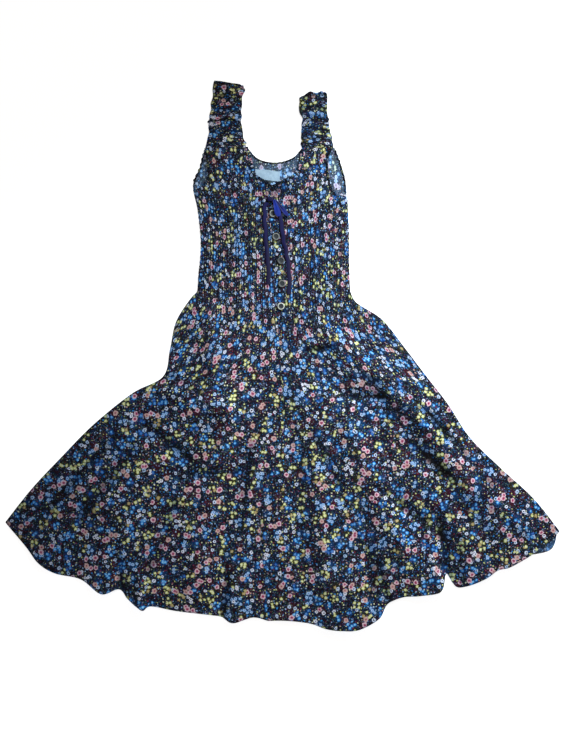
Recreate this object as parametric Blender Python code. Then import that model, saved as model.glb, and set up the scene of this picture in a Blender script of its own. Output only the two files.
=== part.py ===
"""A sleeveless sundress laid flat: shirred bodice, ruched straps, ribbon bow and a flared skirt.

Metres, +Z up out of the cloth, +Y from the hem to the shoulders, +X to the dress's own
left-hand side as it is looked at from above (the viewer's right).
The origin is on the surface that the dress lies on, under the middle of its outline.
"""

import math

import bmesh
import bpy
from mathutils import Matrix

# Layers, from the surface up.
GAP = 0.0003  # kept between pieces that touch in the real dress
BACK_WALL = 0.0014
FRONT_LEVEL = BACK_WALL + GAP  # underside of everything that lies on the back
SKIRT_WALL = 0.0014
SHIRR_WALL = 0.0024
SHIRR_RIDGE = 0.0007  # half height of the bodice pleats
BODICE_TOP = FRONT_LEVEL + SHIRR_WALL + 2 * SHIRR_RIDGE
TRIM_LEVEL = BODICE_TOP + GAP
TRIM_WALL = 0.0012
PLACKET_TOP = TRIM_LEVEL + TRIM_WALL

# Buttons, ribbon and label.
BUTTON_RADIUS = 0.0073
BUTTON_HEIGHT = 0.0026
BUTTON_WELL_RADIUS = 0.0046
BUTTON_WELL_DEPTH = 0.0009
BUTTON_SIDES = 20
PLACKET_HALF_WIDTH = 0.0085
PLACKET_FOOT = (-0.0020, 0.0865)
PLACKET_HEAD = (-0.0205, 0.3030)
RIBBON_WIDTH = 0.009
RIBBON_WALL = 0.001
RIBBON_LEVEL = PLACKET_TOP + GAP
LOOP_WALL = 0.0008
LOOP_RISE = 0.0008
LOOP_NECK = 0.45  # a loop's width at the knot, as a share of its widest
KNOT_SIZE = (0.013, 0.010, 0.0052)
LABEL_SIZE = (0.050, 0.020)
LABEL_WALL = 0.0010
LABEL_CENTRE = (-0.0290, 0.3580)
LABEL_TURN = math.radians(-4)

EDGE_WIDTH = 0.004  # rolled edges of the armholes and of the back neck
CASING_WIDTH = 0.007
EDGE_INSET = 0.0015  # how far those edges' middles lie inside the panel's outline
EDGE_FRILLS = 5  # waves along one armhole edge
EDGE_FRILL_DEPTH = 0.0010

NECK_LIFT = 0.0014  # how far the gathered neckline stands off the back, over the label
NECK_LIFT_START = 0.52  # share of the front's height where that begins

STRAP_WALL = 0.0016
STRAP_FOLD_GAP = 0.0007  # between the strap's back and front layers
STRAP_RUCHES = 8
STRAP_RUCHE_HEIGHT = 0.0011
STRAP_RUCHE_SLANT = 2.0  # how far a ruche's crest turns, in radians, from one edge to the other
STRAP_SCALLOP = 0.0016
STRAP_END_FADE = 6  # the ruches die out over a sixth of the strap at each end

# The lay of the dress on its surface, which puts the outline's middle over the origin.
LAY_SHIFT = (-0.001, 0.001)

# Skirt: name, left x, left y, right x, right y, how far the middle hangs below the ends.
SKIRT_SECTIONS = (
    ("waist", -0.170, 0.125, 0.137, 0.125, 0.042),
    ("hip_top", -0.185, 0.109, 0.150, 0.103, 0.052),
    ("hip", -0.212, 0.065, 0.200, 0.070, 0.064),
    ("hip_low", -0.224, 0.010, 0.242, 0.018, 0.080),
    ("break", -0.238, -0.044, 0.286, -0.040, 0.096),
    ("thigh", -0.300, -0.078, 0.331, -0.098, 0.110),
    ("flare", -0.378, -0.141, 0.375, -0.165, 0.130),
    ("knee", -0.439, -0.203, 0.434, -0.224, 0.150),
    ("lower", -0.500, -0.268, 0.503, -0.288, 0.168),
    ("hem", -0.553, -0.335, 0.555, -0.353, 0.185),
)
SKIRT_BOW = 2.5  # exponent of a section's bow, which a parabola has at 2
HEM_FADE = 7  # how quickly the hem's own shape dies out up the skirt
FOLD_FADE = 2.2  # and how quickly its flutes do
FLAT_EDGE = 40
FLAT_WAIST = 4
BACK_INSET = 0.002  # how far the back's sides stay inside the front's

# Hem, left to right: name, x, y, height of the cloth there over the back.
FRONT_HEM = (
    ("left_corner", -0.553, -0.335, 0.001),
    ("left_edge", -0.512, -0.383, 0.003),
    ("left_dip", -0.486, -0.416, 0.008),
    ("wing_turn", -0.454, -0.437, 0.003),
    ("wing_flat", -0.402, -0.449, 0.002),
    ("knee_flute", -0.360, -0.477, 0.012),
    ("knee_valley", -0.326, -0.469, 0.002),
    ("step", -0.308, -0.488, 0.004),
    ("pinch_tip", -0.279, -0.509, 0.012),
    ("pinch_foot", -0.262, -0.503, 0.002),
    ("long_flat", -0.212, -0.512, 0.003),
    ("long_rise", -0.150, -0.519, 0.005),
    ("soft_valley", -0.122, -0.524, 0.002),
    ("soft_flute", -0.098, -0.535, 0.010),
    ("soft_foot", -0.058, -0.525, 0.002),
    ("seam", -0.028, -0.532, 0.003),
    ("middle", 0.008, -0.531, 0.006),
    ("middle_foot", 0.056, -0.537, 0.003),
    ("roll_left", 0.088, -0.547, 0.009),
    ("roll_crest", 0.120, -0.550, 0.013),
    ("roll_right", 0.154, -0.548, 0.010),
    ("roll_end", 0.194, -0.527, 0.004),
    ("shelf", 0.210, -0.499, 0.006),
    ("shelf_flat", 0.240, -0.485, 0.004),
    ("tuck_left", 0.276, -0.481, 0.010),
    ("tuck_fold", 0.316, -0.472, 0.012),
    ("tuck_notch", 0.329, -0.438, 0.002),
    ("tongue_left", 0.348, -0.464, 0.003),
    ("tongue_right", 0.376, -0.461, 0.004),
    ("tongue_end", 0.408, -0.446, 0.009),
    ("wing_valley", 0.432, -0.431, 0.002),
    ("wing_right", 0.458, -0.423, 0.006),
    ("wing_end", 0.512, -0.391, 0.004),
    ("right_corner", 0.555, -0.353, 0.001),
)
SEAM_ROW = 15  # the hem row where the two front gores meet
FRONT_ROWS = 12
GORE_ROWS = 18  # two for each step between skirt sections
BACK_ROWS = 9
BACK_HEM = (
    ("left_corner", -0.550, -0.334, 0.0),
    ("left_edge", -0.500, -0.394, 0.0),
    ("left_peek", -0.492, -0.407, 0.0),
    ("left_foot", -0.440, -0.430, 0.0),
    ("knee", -0.350, -0.462, 0.0),
    ("long_flat", -0.210, -0.503, 0.0),
    ("middle", -0.020, -0.522, 0.0),
    ("roll", 0.120, -0.532, 0.0),
    ("shelf", 0.206, -0.492, 0.0),
    ("tuck", 0.300, -0.466, 0.0),
    ("notch", 0.334, -0.434, 0.0),
    ("tongue", 0.380, -0.452, 0.0),
    ("wing", 0.470, -0.408, 0.0),
    ("right_peek", 0.538, -0.391, 0.0),
    ("right_corner", 0.552, -0.354, 0.0),
)
# Where the seam runs between the sides, as a share of the width, at each skirt section.
SEAM_SHARES = (0.547, 0.530, 0.505, 0.482, 0.465, 0.453, 0.450, 0.455, 0.464, 0.474)

# Largest folds inside the skirt: name, two ends, half width, height.
SKIRT_FOLDS = (
    ("left_hip", -0.140, 0.085, -0.128, -0.070, 0.030, 0.0055),
    ("left_break", -0.226, -0.056, -0.120, -0.105, 0.026, 0.0060),
    ("left_wing", -0.190, -0.120, -0.330, -0.300, 0.034, 0.0065),
    ("left_middle", -0.100, -0.100, -0.170, -0.420, 0.032, 0.0045),
    ("right_hip", 0.110, 0.030, 0.236, -0.080, 0.028, 0.0060),
    ("right_wing", 0.236, -0.080, 0.440, -0.330, 0.036, 0.0065),
    ("right_middle", 0.130, -0.130, 0.230, -0.360, 0.032, 0.0060),
    ("centre_right", 0.050, -0.100, 0.096, -0.440, 0.034, 0.0045),
)

# Front bodice halves: name, outer x, outer y, inner x, inner y, dip of the section's middle.
LEFT_FRONT = (
    ("waist", -0.170, 0.125, -0.002, 0.0834, 0.0126),
    ("ribs_low", -0.167, 0.160, 0.000, 0.132, 0.006),
    ("ribs", -0.163, 0.200, -0.002, 0.187, 0.003),
    ("chest", -0.163, 0.237, -0.012, 0.235, 0.0),
    ("bust", -0.168, 0.285, -0.018, 0.281, 0.0),
    ("underarm", -0.171, 0.326, -0.021, 0.318, 0.0),
    ("neck_middle", -0.157, 0.336, -0.020, 0.338, 0.0),
    ("neck_low", -0.147, 0.352, -0.040, 0.348, 0.0),
    ("neck_side", -0.147, 0.370, -0.055, 0.360, 0.0),
    ("neck_high", -0.150, 0.391, -0.063, 0.388, 0.0),
    ("strap_base", -0.154, 0.413, -0.072, 0.416, 0.0),
)
RIGHT_FRONT = (
    ("waist", 0.137, 0.125, -0.002, 0.0834, 0.0086),
    ("ribs_low", 0.135, 0.160, 0.000, 0.132, 0.006),
    ("ribs", 0.134, 0.200, -0.002, 0.187, 0.003),
    ("chest", 0.134, 0.237, -0.012, 0.235, 0.0),
    ("bust", 0.132, 0.285, -0.018, 0.281, 0.0),
    ("underarm", 0.129, 0.314, -0.021, 0.318, 0.0),
    ("neck_middle", 0.110, 0.318, -0.020, 0.338, 0.0),
    ("neck_low", 0.098, 0.332, 0.002, 0.345, 0.0),
    ("neck_side", 0.092, 0.356, 0.024, 0.357, 0.0),
    ("neck_high", 0.090, 0.388, 0.038, 0.384, 0.0),
    ("strap_base", 0.099, 0.413, 0.040, 0.412, 0.0),
)
NECK_ROW = 6  # the front section where the neckline starts

# Back bodice outline: name, x, y along each side, from the waist up to the strap.
BACK_LEFT_SIDE = (
    ("waist", -0.168, 0.125),
    ("ribs", -0.161, 0.200),
    ("chest", -0.162, 0.240),
    ("bust", -0.169, 0.290),
    ("underarm", -0.177, 0.326),
    ("armhole_low", -0.176, 0.348),
    ("armhole", -0.165, 0.372),
    ("armhole_high", -0.159, 0.396),
    ("strap_base", -0.153, 0.413),
)
BACK_RIGHT_SIDE = (
    ("waist", 0.135, 0.125),
    ("ribs", 0.132, 0.200),
    ("chest", 0.132, 0.240),
    ("bust", 0.131, 0.290),
    ("underarm", 0.129, 0.322),
    ("armhole_low", 0.126, 0.350),
    ("armhole", 0.120, 0.372),
    ("armhole_high", 0.112, 0.396),
    ("strap_base", 0.105, 0.413),
)
BACK_NECK = (
    ("left_strap", -0.072, 0.416),
    ("left_curve", -0.048, 0.391),
    ("bottom", -0.012, 0.3835),
    ("right_curve", 0.022, 0.393),
    ("right_strap", 0.040, 0.412),
)

# Straps, from the bodice up: name, left x, left y, right x, right y.
LEFT_STRAP = (
    ("base", -0.153, 0.413, -0.072, 0.416),
    ("low", -0.147, 0.440, -0.079, 0.440),
    ("lower_middle", -0.146, 0.465, -0.081, 0.465),
    ("middle", -0.143, 0.490, -0.080, 0.490),
    ("upper", -0.139, 0.517, -0.079, 0.515),
    ("top", -0.138, 0.547, -0.075, 0.539),
)
RIGHT_STRAP = (
    ("base", 0.040, 0.412, 0.103, 0.413),
    ("low", 0.038, 0.430, 0.099, 0.432),
    ("lower_middle", 0.039, 0.450, 0.095, 0.451),
    ("middle", 0.040, 0.470, 0.092, 0.471),
    ("upper", 0.033, 0.496, 0.090, 0.497),
    ("top", 0.041, 0.520, 0.089, 0.524),
)

BUTTON_PLACES = (
    ("button_1", -0.018, 0.281),
    ("button_2", -0.012, 0.235),
    ("button_3", -0.002, 0.187),
    ("button_4", 0.000, 0.141),
    ("button_5", -0.002, 0.096),
)
# Ribbon: name, x, y and height of the ribbon's underside over the surface.
KNOT_PLACE = (-0.023, 0.3095)
LEFT_TAIL = (
    ("knot", -0.0300, 0.3030, 0.0075),
    ("drop", -0.0350, 0.2880, 0.0068),
    ("fall", -0.0335, 0.2620, 0.0060),
    ("middle", -0.0320, 0.2350, 0.0058),
    ("low", -0.0305, 0.2080, 0.0058),
    ("sway", -0.0275, 0.1800, 0.0058),
    ("end", -0.0265, 0.1400, 0.0058),
)
RIGHT_TAIL = (
    ("knot", -0.0140, 0.3030, 0.0074),
    ("drop", -0.0060, 0.2860, 0.0074),
    ("fall", -0.0010, 0.2600, 0.0074),
    ("pass", 0.0025, 0.2330, 0.0074),
    ("middle", 0.0085, 0.2050, 0.0074),
    ("low", 0.0125, 0.1790, 0.0074),
    ("sway", 0.0148, 0.1500, 0.0062),
    ("end", 0.0146, 0.1200, 0.0060),
)
# Loops: name, x, y at the knot, x, y at the tip, widest half width, level.
LOOPS = (
    ("ribbon_loop_left", -0.0200, 0.3036, -0.0068, 0.2740, 0.0072, 0.0121),
    ("ribbon_loop_right", -0.0138, 0.3095, 0.0150, 0.2740, 0.0062, 0.0092),
)

# Materials: base colour, roughness.
FINISHES = {
    "floral_cloth": ((0.060, 0.072, 0.105, 1), 0.85),
    "wrong_side": ((0.150, 0.205, 0.290, 1), 0.90),
    "dark_edge": ((0.012, 0.016, 0.030, 1), 0.80),
    "satin_ribbon": ((0.020, 0.030, 0.260, 1), 0.35),
    "button_shell": ((0.330, 0.330, 0.280, 1), 0.30),
    "label_tape": ((0.560, 0.680, 0.780, 1), 0.60),
}


def clear_scene():
    for obj in list(bpy.data.objects):
        bpy.data.objects.remove(obj, do_unlink=True)


def finish(name):
    """The material of this name, made once."""
    if name in bpy.data.materials:
        return bpy.data.materials[name]
    colour, roughness = FINISHES[name]
    material = bpy.data.materials.new(name)
    material.use_nodes = True
    shader = material.node_tree.nodes["Principled BSDF"]
    shader.inputs["Base Color"].default_value = colour
    shader.inputs["Roughness"].default_value = roughness
    return material


def numbers(rows):
    """The rows without their names."""
    return [row[1:] for row in rows]


def along(rows, share):
    """The values at this share of the way through the rows, on one smooth curve through them."""
    last = len(rows) - 1
    place = min(max(share, 0), 1) * last
    i = min(int(place), last - 1)
    t = place - i
    before, start = rows[max(i - 1, 0)], rows[i]
    end, after = rows[i + 1], rows[min(i + 2, last)]
    return [
        0.5 * (2 * b + (c - a) * t + (2 * a - 5 * b + 4 * c - d) * t**2 + (3 * b - 3 * c + d - a) * t**3)
        for a, b, c, d in zip(before, start, end, after)
    ]


def mix(a, b, share):
    return a + (b - a) * share


def moved(point, dx, dy):
    return point[0] + dx, point[1] + dy


def laid(x, y, z):
    return (x + LAY_SHIFT[0], y + LAY_SHIFT[1], z)


def add_object(name, bm, material):
    bmesh.ops.recalc_face_normals(bm, faces=bm.faces[:])
    mesh = bpy.data.meshes.new(name)
    bm.to_mesh(mesh)
    bm.free()
    mesh.materials.append(finish(material))
    obj = bpy.data.objects.new(name, mesh)
    bpy.context.scene.collection.objects.link(obj)
    return obj


def sheet_grid(columns, rows, place):
    """A grid of cloth. place(column share, row share) gives a point's x, y and z."""
    bm = bmesh.new()
    bmesh.ops.create_grid(bm, x_segments=columns, y_segments=rows, size=0.5)
    for vert in bm.verts:
        vert.co = place(vert.co.x + 0.5, vert.co.y + 0.5)
    return bm


def wall(name, columns, rows, place, thickness, material):
    """A cloth wall whose underside is at place(), raised straight up by its thickness."""
    bm = sheet_grid(columns, rows, place)
    raised = bmesh.ops.extrude_face_region(bm, geom=bm.faces[:])["geom"]
    top = [item for item in raised if isinstance(item, bmesh.types.BMVert)]
    bmesh.ops.translate(bm, verts=top, vec=(0, 0, thickness))
    return add_object(name, bm, material)


def folded_wall(name, columns, rows, place, thickness, material):
    """A cloth strip that folds over itself: a grid with its thickness added square to it."""
    obj = add_object(name, sheet_grid(columns, rows, place), material)
    solid = obj.modifiers.new("cloth thickness", "SOLIDIFY")
    solid.thickness = thickness
    solid.offset = 0
    return obj


def fold_height(x, y):
    """How high the skirt's inner folds lift the cloth at a point."""
    height = 0
    for _, x0, y0, x1, y1, half_width, rise in SKIRT_FOLDS:
        dx, dy = x1 - x0, y1 - y0
        share = ((x - x0) * dx + (y - y0) * dy) / (dx * dx + dy * dy)
        nearest = min(max(share, 0), 1)
        away = math.hypot(x - mix(x0, x1, nearest), y - mix(y0, y1, nearest))
        height += rise * math.exp(-((away / half_width) ** 2))
    return height


def hem_share(x):
    """How far across the hem a point of the hem's table is, from 0 on the left to 1 on the right."""
    left_x, right_x = SKIRT_SECTIONS[-1][1], SKIRT_SECTIONS[-1][3]
    return (x - left_x) / (right_x - left_x)


def section_line(section, across, bow):
    """x and y on a skirt section, which hangs lower towards its middle."""
    left_x, left_y, right_x, right_y, sag = section
    y = mix(left_y, right_y, across) - sag * (1 - abs(2 * across - 1) ** bow)
    return mix(left_x, right_x, across), y


def skirt_point(across, down, hem_row, inset=0.0):
    """x, y and lift of the skirt at a share of its width and of its length.

    hem_row holds x, y and lift where the column meets the hem, and the hem's shape dies out upwards.
    """
    left_x, left_y, right_x, right_y, sag = along(numbers(SKIRT_SECTIONS), down)
    section = (left_x + inset, left_y, right_x - inset, right_y, sag)
    x, y = section_line(section, across, mix(2, SKIRT_BOW, down))
    hem_x, hem_y, lift = hem_row
    _, plain_y = section_line(SKIRT_SECTIONS[-1][1:], hem_share(hem_x), SKIRT_BOW)
    return x, y + (hem_y - plain_y) * down**HEM_FADE, lift * down**FOLD_FADE


def gore(name, first, last, side):
    """A front skirt gore between two hem rows, with one column for each hem row.

    side is -1 for the gore left of the seam and 1 for the one right of it.
    """
    rows = FRONT_HEM[first : last + 1]
    seam_at_hem = hem_share(FRONT_HEM[SEAM_ROW][1])
    seam_shares = [(share,) for share in SEAM_SHARES]

    def place(column_share, row_share):
        row = rows[round(column_share * (len(rows) - 1))]
        down = 1 - row_share
        at_hem = hem_share(row[1])
        seam = along(seam_shares, down)[0]
        if side < 0:
            across = seam * at_hem / seam_at_hem
        else:
            across = 1 - (1 - seam) * (1 - at_hem) / (1 - seam_at_hem)
        x, y, rise = skirt_point(across, down, row[1:])
        if row is FRONT_HEM[SEAM_ROW]:
            x += side * GAP / 2
        if row_share == 1:
            y -= GAP
        # The folds flatten towards the side edges and the waist.
        flat = min(1, FLAT_EDGE * across, FLAT_EDGE * (1 - across)) * min(1, FLAT_WAIST * down)
        return laid(x, y, FRONT_LEVEL + rise + fold_height(x, y) * flat)

    wall(name, len(rows) - 1, GORE_ROWS, place, SKIRT_WALL, "floral_cloth")


def back_skirt():
    rows = numbers(BACK_HEM)

    def place(column_share, row_share):
        hem_row = along(rows, column_share)
        x, y, _ = skirt_point(hem_share(hem_row[0]), 1 - row_share, hem_row, inset=BACK_INSET)
        return laid(x, y - 3 * GAP * (row_share == 1), 0)

    wall("back_skirt", 22, BACK_ROWS, place, BACK_WALL, "wrong_side")


def front_point(sections, across, up):
    """x and y of a front half. across runs from the outer edge to the centre front."""
    values = numbers(sections)
    row = up * (len(values) - 1)
    # The centre front and the neckline meet in a corner, so each has a curve of its own.
    if row <= NECK_ROW:
        section = along(values[: NECK_ROW + 1], row / NECK_ROW)
    else:
        section = along(values[NECK_ROW:], (row - NECK_ROW) / (len(values) - 1 - NECK_ROW))
    outer_x, outer_y, inner_x, inner_y, dip = section
    y = mix(outer_y, inner_y, across) - 4 * dip * across * (1 - across)
    return mix(outer_x, inner_x, across), y


def neck_lift(across, up):
    """How far the front stands off the back near its neckline."""
    start = NECK_ROW / (len(LEFT_FRONT) - 1)
    rise = min(max((up - NECK_LIFT_START) / (start - NECK_LIFT_START), 0), 1)
    fall = min(max((1 - up) / (1 - start), 0), 1) ** 0.5
    return NECK_LIFT * rise * fall * across**2


def front_bodice(name, sections, side):
    """side is -1 for the left half and 1 for the right."""
    columns = 20

    def place(column_share, row_share):
        x, y = front_point(sections, column_share, row_share)
        x += side * GAP / 2 * (column_share == 1)
        ridge = SHIRR_RIDGE * (1 + (-1) ** round(column_share * columns))
        fade = 1 if 0 < row_share < 1 else 0
        return laid(x, y, FRONT_LEVEL + ridge * fade + neck_lift(column_share, row_share))

    wall(name, columns, FRONT_ROWS, place, SHIRR_WALL, "floral_cloth")


def back_bodice():
    left, right = numbers(BACK_LEFT_SIDE), numbers(BACK_RIGHT_SIDE)
    neck = numbers(BACK_NECK)
    strap_share = 0.25

    def top(share):
        if share <= strap_share:
            ends, part = (left[-1], neck[0]), share / strap_share
        elif share >= 1 - strap_share:
            ends, part = (neck[-1], right[-1]), (share - 1 + strap_share) / strap_share
        else:
            return along(neck, (share - strap_share) / (1 - 2 * strap_share))
        return [mix(a, b, part) for a, b in zip(*ends)]

    def bottom(share):
        x = mix(left[0][0], right[0][0], share)
        return x, left[0][1] - SKIRT_SECTIONS[0][5] * (1 - (2 * share - 1) ** 2)

    def place(column_share, row_share):
        a, b = column_share, row_share
        sides = [mix(p, q, a) for p, q in zip(along(left, b), along(right, b))]
        ends = [mix(p, q, b) for p, q in zip(bottom(a), top(a))]
        corners = [
            mix(mix(left[0][i], right[0][i], a), mix(left[-1][i], right[-1][i], a), b) for i in (0, 1)
        ]
        x, y = (s + e - c for s, e, c in zip(sides, ends, corners))
        return laid(x, y, 0)

    wall("back_bodice", 20, 10, place, BACK_WALL, "wrong_side")


def band(name, route, width, level, thickness, material, columns=1, rows=16, frill=0.0):
    """A narrow strip along a route, centred on it. route(share) gives x and y."""

    def place(column_share, row_share):
        step = 0.01
        x0, y0 = route(max(row_share - step, 0))
        x1, y1 = route(min(row_share + step, 1))
        x, y = route(row_share)
        length = math.hypot(x1 - x0, y1 - y0)
        away = (column_share - 0.5) * width + frill * math.sin(2 * math.pi * EDGE_FRILLS * row_share)
        lift = level(row_share) if callable(level) else level
        return laid(x - away * (y1 - y0) / length, y + away * (x1 - x0) / length, lift)

    wall(name, columns, rows, place, thickness, material)


def edge_route(sections, first, last, inner):
    """The outer or inner edge of a table's sections from one row to another."""
    rows = [row[3:5] if inner else row[1:3] for row in sections[first : last + 1]]
    return lambda share: along(rows, share)


def trims():
    """Neck casings, the back neck binding and the armholes' frilled edges."""
    top = len(LEFT_FRONT) - 1
    for side, sections in (("left", LEFT_FRONT), ("right", RIGHT_FRONT)):
        # The two casings leave room for the placket's head between them.
        neck = edge_route(sections, NECK_ROW, top, inner=True)
        band(
            f"neck_casing_{side}",
            lambda share, neck=neck: neck(mix(0.12, 0.96, share)),
            CASING_WIDTH, TRIM_LEVEL + NECK_LIFT, TRIM_WALL, "dark_edge", rows=12,
        )
        armhole = edge_route(sections, NECK_ROW, top, inner=False)
        band(
            f"armhole_front_{side}",
            lambda share, armhole=armhole: armhole(mix(0.02, 0.94, share)),
            EDGE_WIDTH, TRIM_LEVEL, TRIM_WALL, "dark_edge", rows=20, frill=EDGE_FRILL_DEPTH,
        )
    for side, outline in (("left", BACK_LEFT_SIDE), ("right", BACK_RIGHT_SIDE)):
        route = edge_route(outline, 4, 8, inner=False)
        inward = EDGE_INSET if side == "left" else -EDGE_INSET
        band(
            f"armhole_back_{side}",
            lambda share, route=route, inward=inward: moved(route(mix(0.02, 0.86, share)), inward, 0),
            EDGE_WIDTH, FRONT_LEVEL, TRIM_WALL, "dark_edge", rows=20, frill=EDGE_FRILL_DEPTH,
        )
    neck = numbers(BACK_NECK)
    band(
        "back_neck_binding",
        lambda share: moved(along(neck, mix(0.10, 0.92, share)), 0, -EDGE_INSET),
        EDGE_WIDTH, FRONT_LEVEL, TRIM_WALL, "dark_edge", rows=16,
    )


def placket():
    """The button band down the centre front, through the buttons' places."""
    centre = [PLACKET_FOOT, *reversed(numbers(BUTTON_PLACES)), PLACKET_HEAD]
    band(
        "placket", lambda share: along(centre, share),
        2 * PLACKET_HALF_WIDTH, TRIM_LEVEL, TRIM_WALL, "floral_cloth",
    )


def buttons():
    """Round buttons, each with a raised rim round a sunk middle."""
    for name, x, y in BUTTON_PLACES:
        bm = bmesh.new()
        bmesh.ops.create_cone(
            bm, cap_ends=True, cap_tris=False, segments=BUTTON_SIDES,
            radius1=BUTTON_RADIUS, radius2=BUTTON_RADIUS, depth=BUTTON_HEIGHT,
        )
        face = max(bm.faces, key=lambda f: f.calc_center_median().z)
        rim = BUTTON_RADIUS - BUTTON_WELL_RADIUS
        bmesh.ops.inset_region(bm, faces=[face], thickness=rim, depth=0)
        bmesh.ops.inset_region(bm, faces=[face], thickness=BUTTON_WELL_DEPTH / 2, depth=-BUTTON_WELL_DEPTH)
        bmesh.ops.translate(bm, verts=bm.verts[:], vec=laid(x, y, RIBBON_LEVEL + BUTTON_HEIGHT / 2))
        add_object(name, bm, "button_shell")


def strap(name, sections):
    """A ruched strap folded over at the shoulder: its back layer runs up and its front layer down."""
    values = numbers(sections)
    low = STRAP_WALL / 2
    high = low + STRAP_WALL + STRAP_FOLD_GAP + STRAP_RUCHE_HEIGHT

    def place(column_share, row_share):
        up = 1 - abs(2 * row_share - 1)
        left_x, left_y, right_x, right_y = along(values, up)
        turn = 2 * math.pi * STRAP_RUCHES * up
        near_base = min(1, STRAP_END_FADE * up)
        scallop = STRAP_SCALLOP * math.sin(turn) * near_base
        x = mix(left_x, right_x, column_share) + scallop * (2 * column_share - 1)
        y = mix(left_y, right_y, column_share) + GAP
        if row_share <= 0.5:
            return laid(x, y, low)
        near_fold = min(1, STRAP_END_FADE * (1 - up))
        ruche = STRAP_RUCHE_HEIGHT * math.sin(turn + STRAP_RUCHE_SLANT * column_share)
        return laid(x, y, high + ruche * near_base * near_fold)

    folded_wall(name, 4, 40, place, STRAP_WALL, "floral_cloth")


def ribbon():
    bm = bmesh.new()
    bmesh.ops.create_cube(bm, size=1)
    bmesh.ops.scale(bm, verts=bm.verts[:], vec=KNOT_SIZE)
    bmesh.ops.bevel(
        bm, geom=bm.edges[:], offset=0.0015, offset_type="OFFSET",
        affect="EDGES", segments=2, profile=0.5, material=-1,
    )
    bmesh.ops.translate(
        bm, verts=bm.verts[:], vec=laid(KNOT_PLACE[0], KNOT_PLACE[1], RIBBON_LEVEL + KNOT_SIZE[2] / 2)
    )
    add_object("ribbon_knot", bm, "satin_ribbon")
    for name, rows in (("ribbon_tail_left", LEFT_TAIL), ("ribbon_tail_right", RIGHT_TAIL)):
        route = numbers(rows)
        band(
            name,
            lambda share, route=route: along(route, share)[:2],
            RIBBON_WIDTH,
            lambda share, route=route: along(route, share)[2],
            RIBBON_WALL, "satin_ribbon", rows=20,
        )
    for name, x0, y0, x1, y1, half_width, level in LOOPS:
        loop(name, x0, y0, x1, y1, half_width, level)


def loop(name, x0, y0, x1, y1, half_width, level):
    """A flattened ribbon loop: down to its tip and back above itself."""
    length = math.hypot(x1 - x0, y1 - y0)
    lead_x, lead_y = (x1 - x0) / length, (y1 - y0) / length

    def place(column_share, row_share):
        out = math.sin(math.pi * row_share)
        swing = half_width * mix(LOOP_NECK, 1, out)
        away = (2 * column_share - 1) * swing
        x = x0 + lead_x * length * out - lead_y * away
        y = y0 + lead_y * length * out + lead_x * away
        return laid(x, y, level + LOOP_RISE * (1 - math.cos(math.pi * row_share)))

    folded_wall(name, 2, 16, place, LOOP_WALL, "satin_ribbon")


def neck_label():
    bm = bmesh.new()
    bmesh.ops.create_cube(bm, size=1)
    bmesh.ops.scale(bm, verts=bm.verts[:], vec=(*LABEL_SIZE, LABEL_WALL))
    bmesh.ops.rotate(bm, verts=bm.verts[:], matrix=Matrix.Rotation(LABEL_TURN, 3, "Z"))
    bmesh.ops.translate(bm, verts=bm.verts[:], vec=laid(*LABEL_CENTRE, FRONT_LEVEL + LABEL_WALL / 2))
    add_object("neck_label", bm, "label_tape")


def main():
    clear_scene()
    back_bodice()
    back_skirt()
    gore("front_skirt_left", 0, SEAM_ROW, -1)
    gore("front_skirt_right", SEAM_ROW, len(FRONT_HEM) - 1, 1)
    front_bodice("front_bodice_left", LEFT_FRONT, -1)
    front_bodice("front_bodice_right", RIGHT_FRONT, 1)
    placket()
    trims()
    strap("strap_left", LEFT_STRAP)
    strap("strap_right", RIGHT_STRAP)
    neck_label()
    buttons()
    ribbon()


main()
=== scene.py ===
"""The looks of a sundress laid flat: printed cotton, shirring, ruched straps, buttons and a satin bow.

Metres, +Z up out of the cloth, +Y from the hem to the shoulders.
"""

import logging
import math
from collections.abc import Callable, Sequence
from dataclasses import dataclass, field
from enum import Enum

import bmesh
import bpy
import numpy as np
from mathutils import Matrix, Vector

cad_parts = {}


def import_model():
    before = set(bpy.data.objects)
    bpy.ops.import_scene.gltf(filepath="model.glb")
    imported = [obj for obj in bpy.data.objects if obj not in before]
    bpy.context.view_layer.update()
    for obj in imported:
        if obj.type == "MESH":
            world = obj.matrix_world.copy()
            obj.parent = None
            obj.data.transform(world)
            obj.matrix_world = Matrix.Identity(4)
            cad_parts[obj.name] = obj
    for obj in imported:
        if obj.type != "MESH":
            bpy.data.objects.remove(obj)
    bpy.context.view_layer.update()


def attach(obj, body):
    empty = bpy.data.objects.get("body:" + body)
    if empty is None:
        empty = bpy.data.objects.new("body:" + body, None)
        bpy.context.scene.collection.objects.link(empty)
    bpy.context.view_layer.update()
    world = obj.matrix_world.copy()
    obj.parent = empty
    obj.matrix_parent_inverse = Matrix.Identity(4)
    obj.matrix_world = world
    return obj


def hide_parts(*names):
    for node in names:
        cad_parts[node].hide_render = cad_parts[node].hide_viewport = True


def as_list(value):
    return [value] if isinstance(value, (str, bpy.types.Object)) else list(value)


LOG = logging.getLogger("sundress")
BODY = "root"
TAU = 2 * math.pi
WHITE = (1.0, 1.0, 1.0, 1.0)
FRONT_SHIFTS = {-1: (0.0, 0.0), 1: (1.37, 0.61)}
BACK_SHIFT = (2.9, 1.7)

Array = np.ndarray
Object = bpy.types.Object
Material = bpy.types.Material
Tree = bpy.types.NodeTree
Place = Callable[[Array, Array], Array]
Rows = Sequence[tuple]

# The lay of the dress on its surface, which puts the outline's middle over the origin.
LAY_SHIFT = np.array((-0.001, 0.001, 0.0))

# Levels of the layers, from the surface up.
BACK_TOP = 0.0012
FRONT_LEVEL = 0.0017
FRONT_TOP = 0.0031
SHIRR_TOP = 0.0040
TRIM_LEVEL = 0.0058
PLACKET_TOP = 0.0070
RIBBON_LEVEL = 0.0073


# ---------------------------------------------------------------- numbers and curves


def values(rows: Rows) -> Array:
    """The rows as numbers, without their names."""
    return np.array([row[1:] for row in rows], dtype=float)


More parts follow.
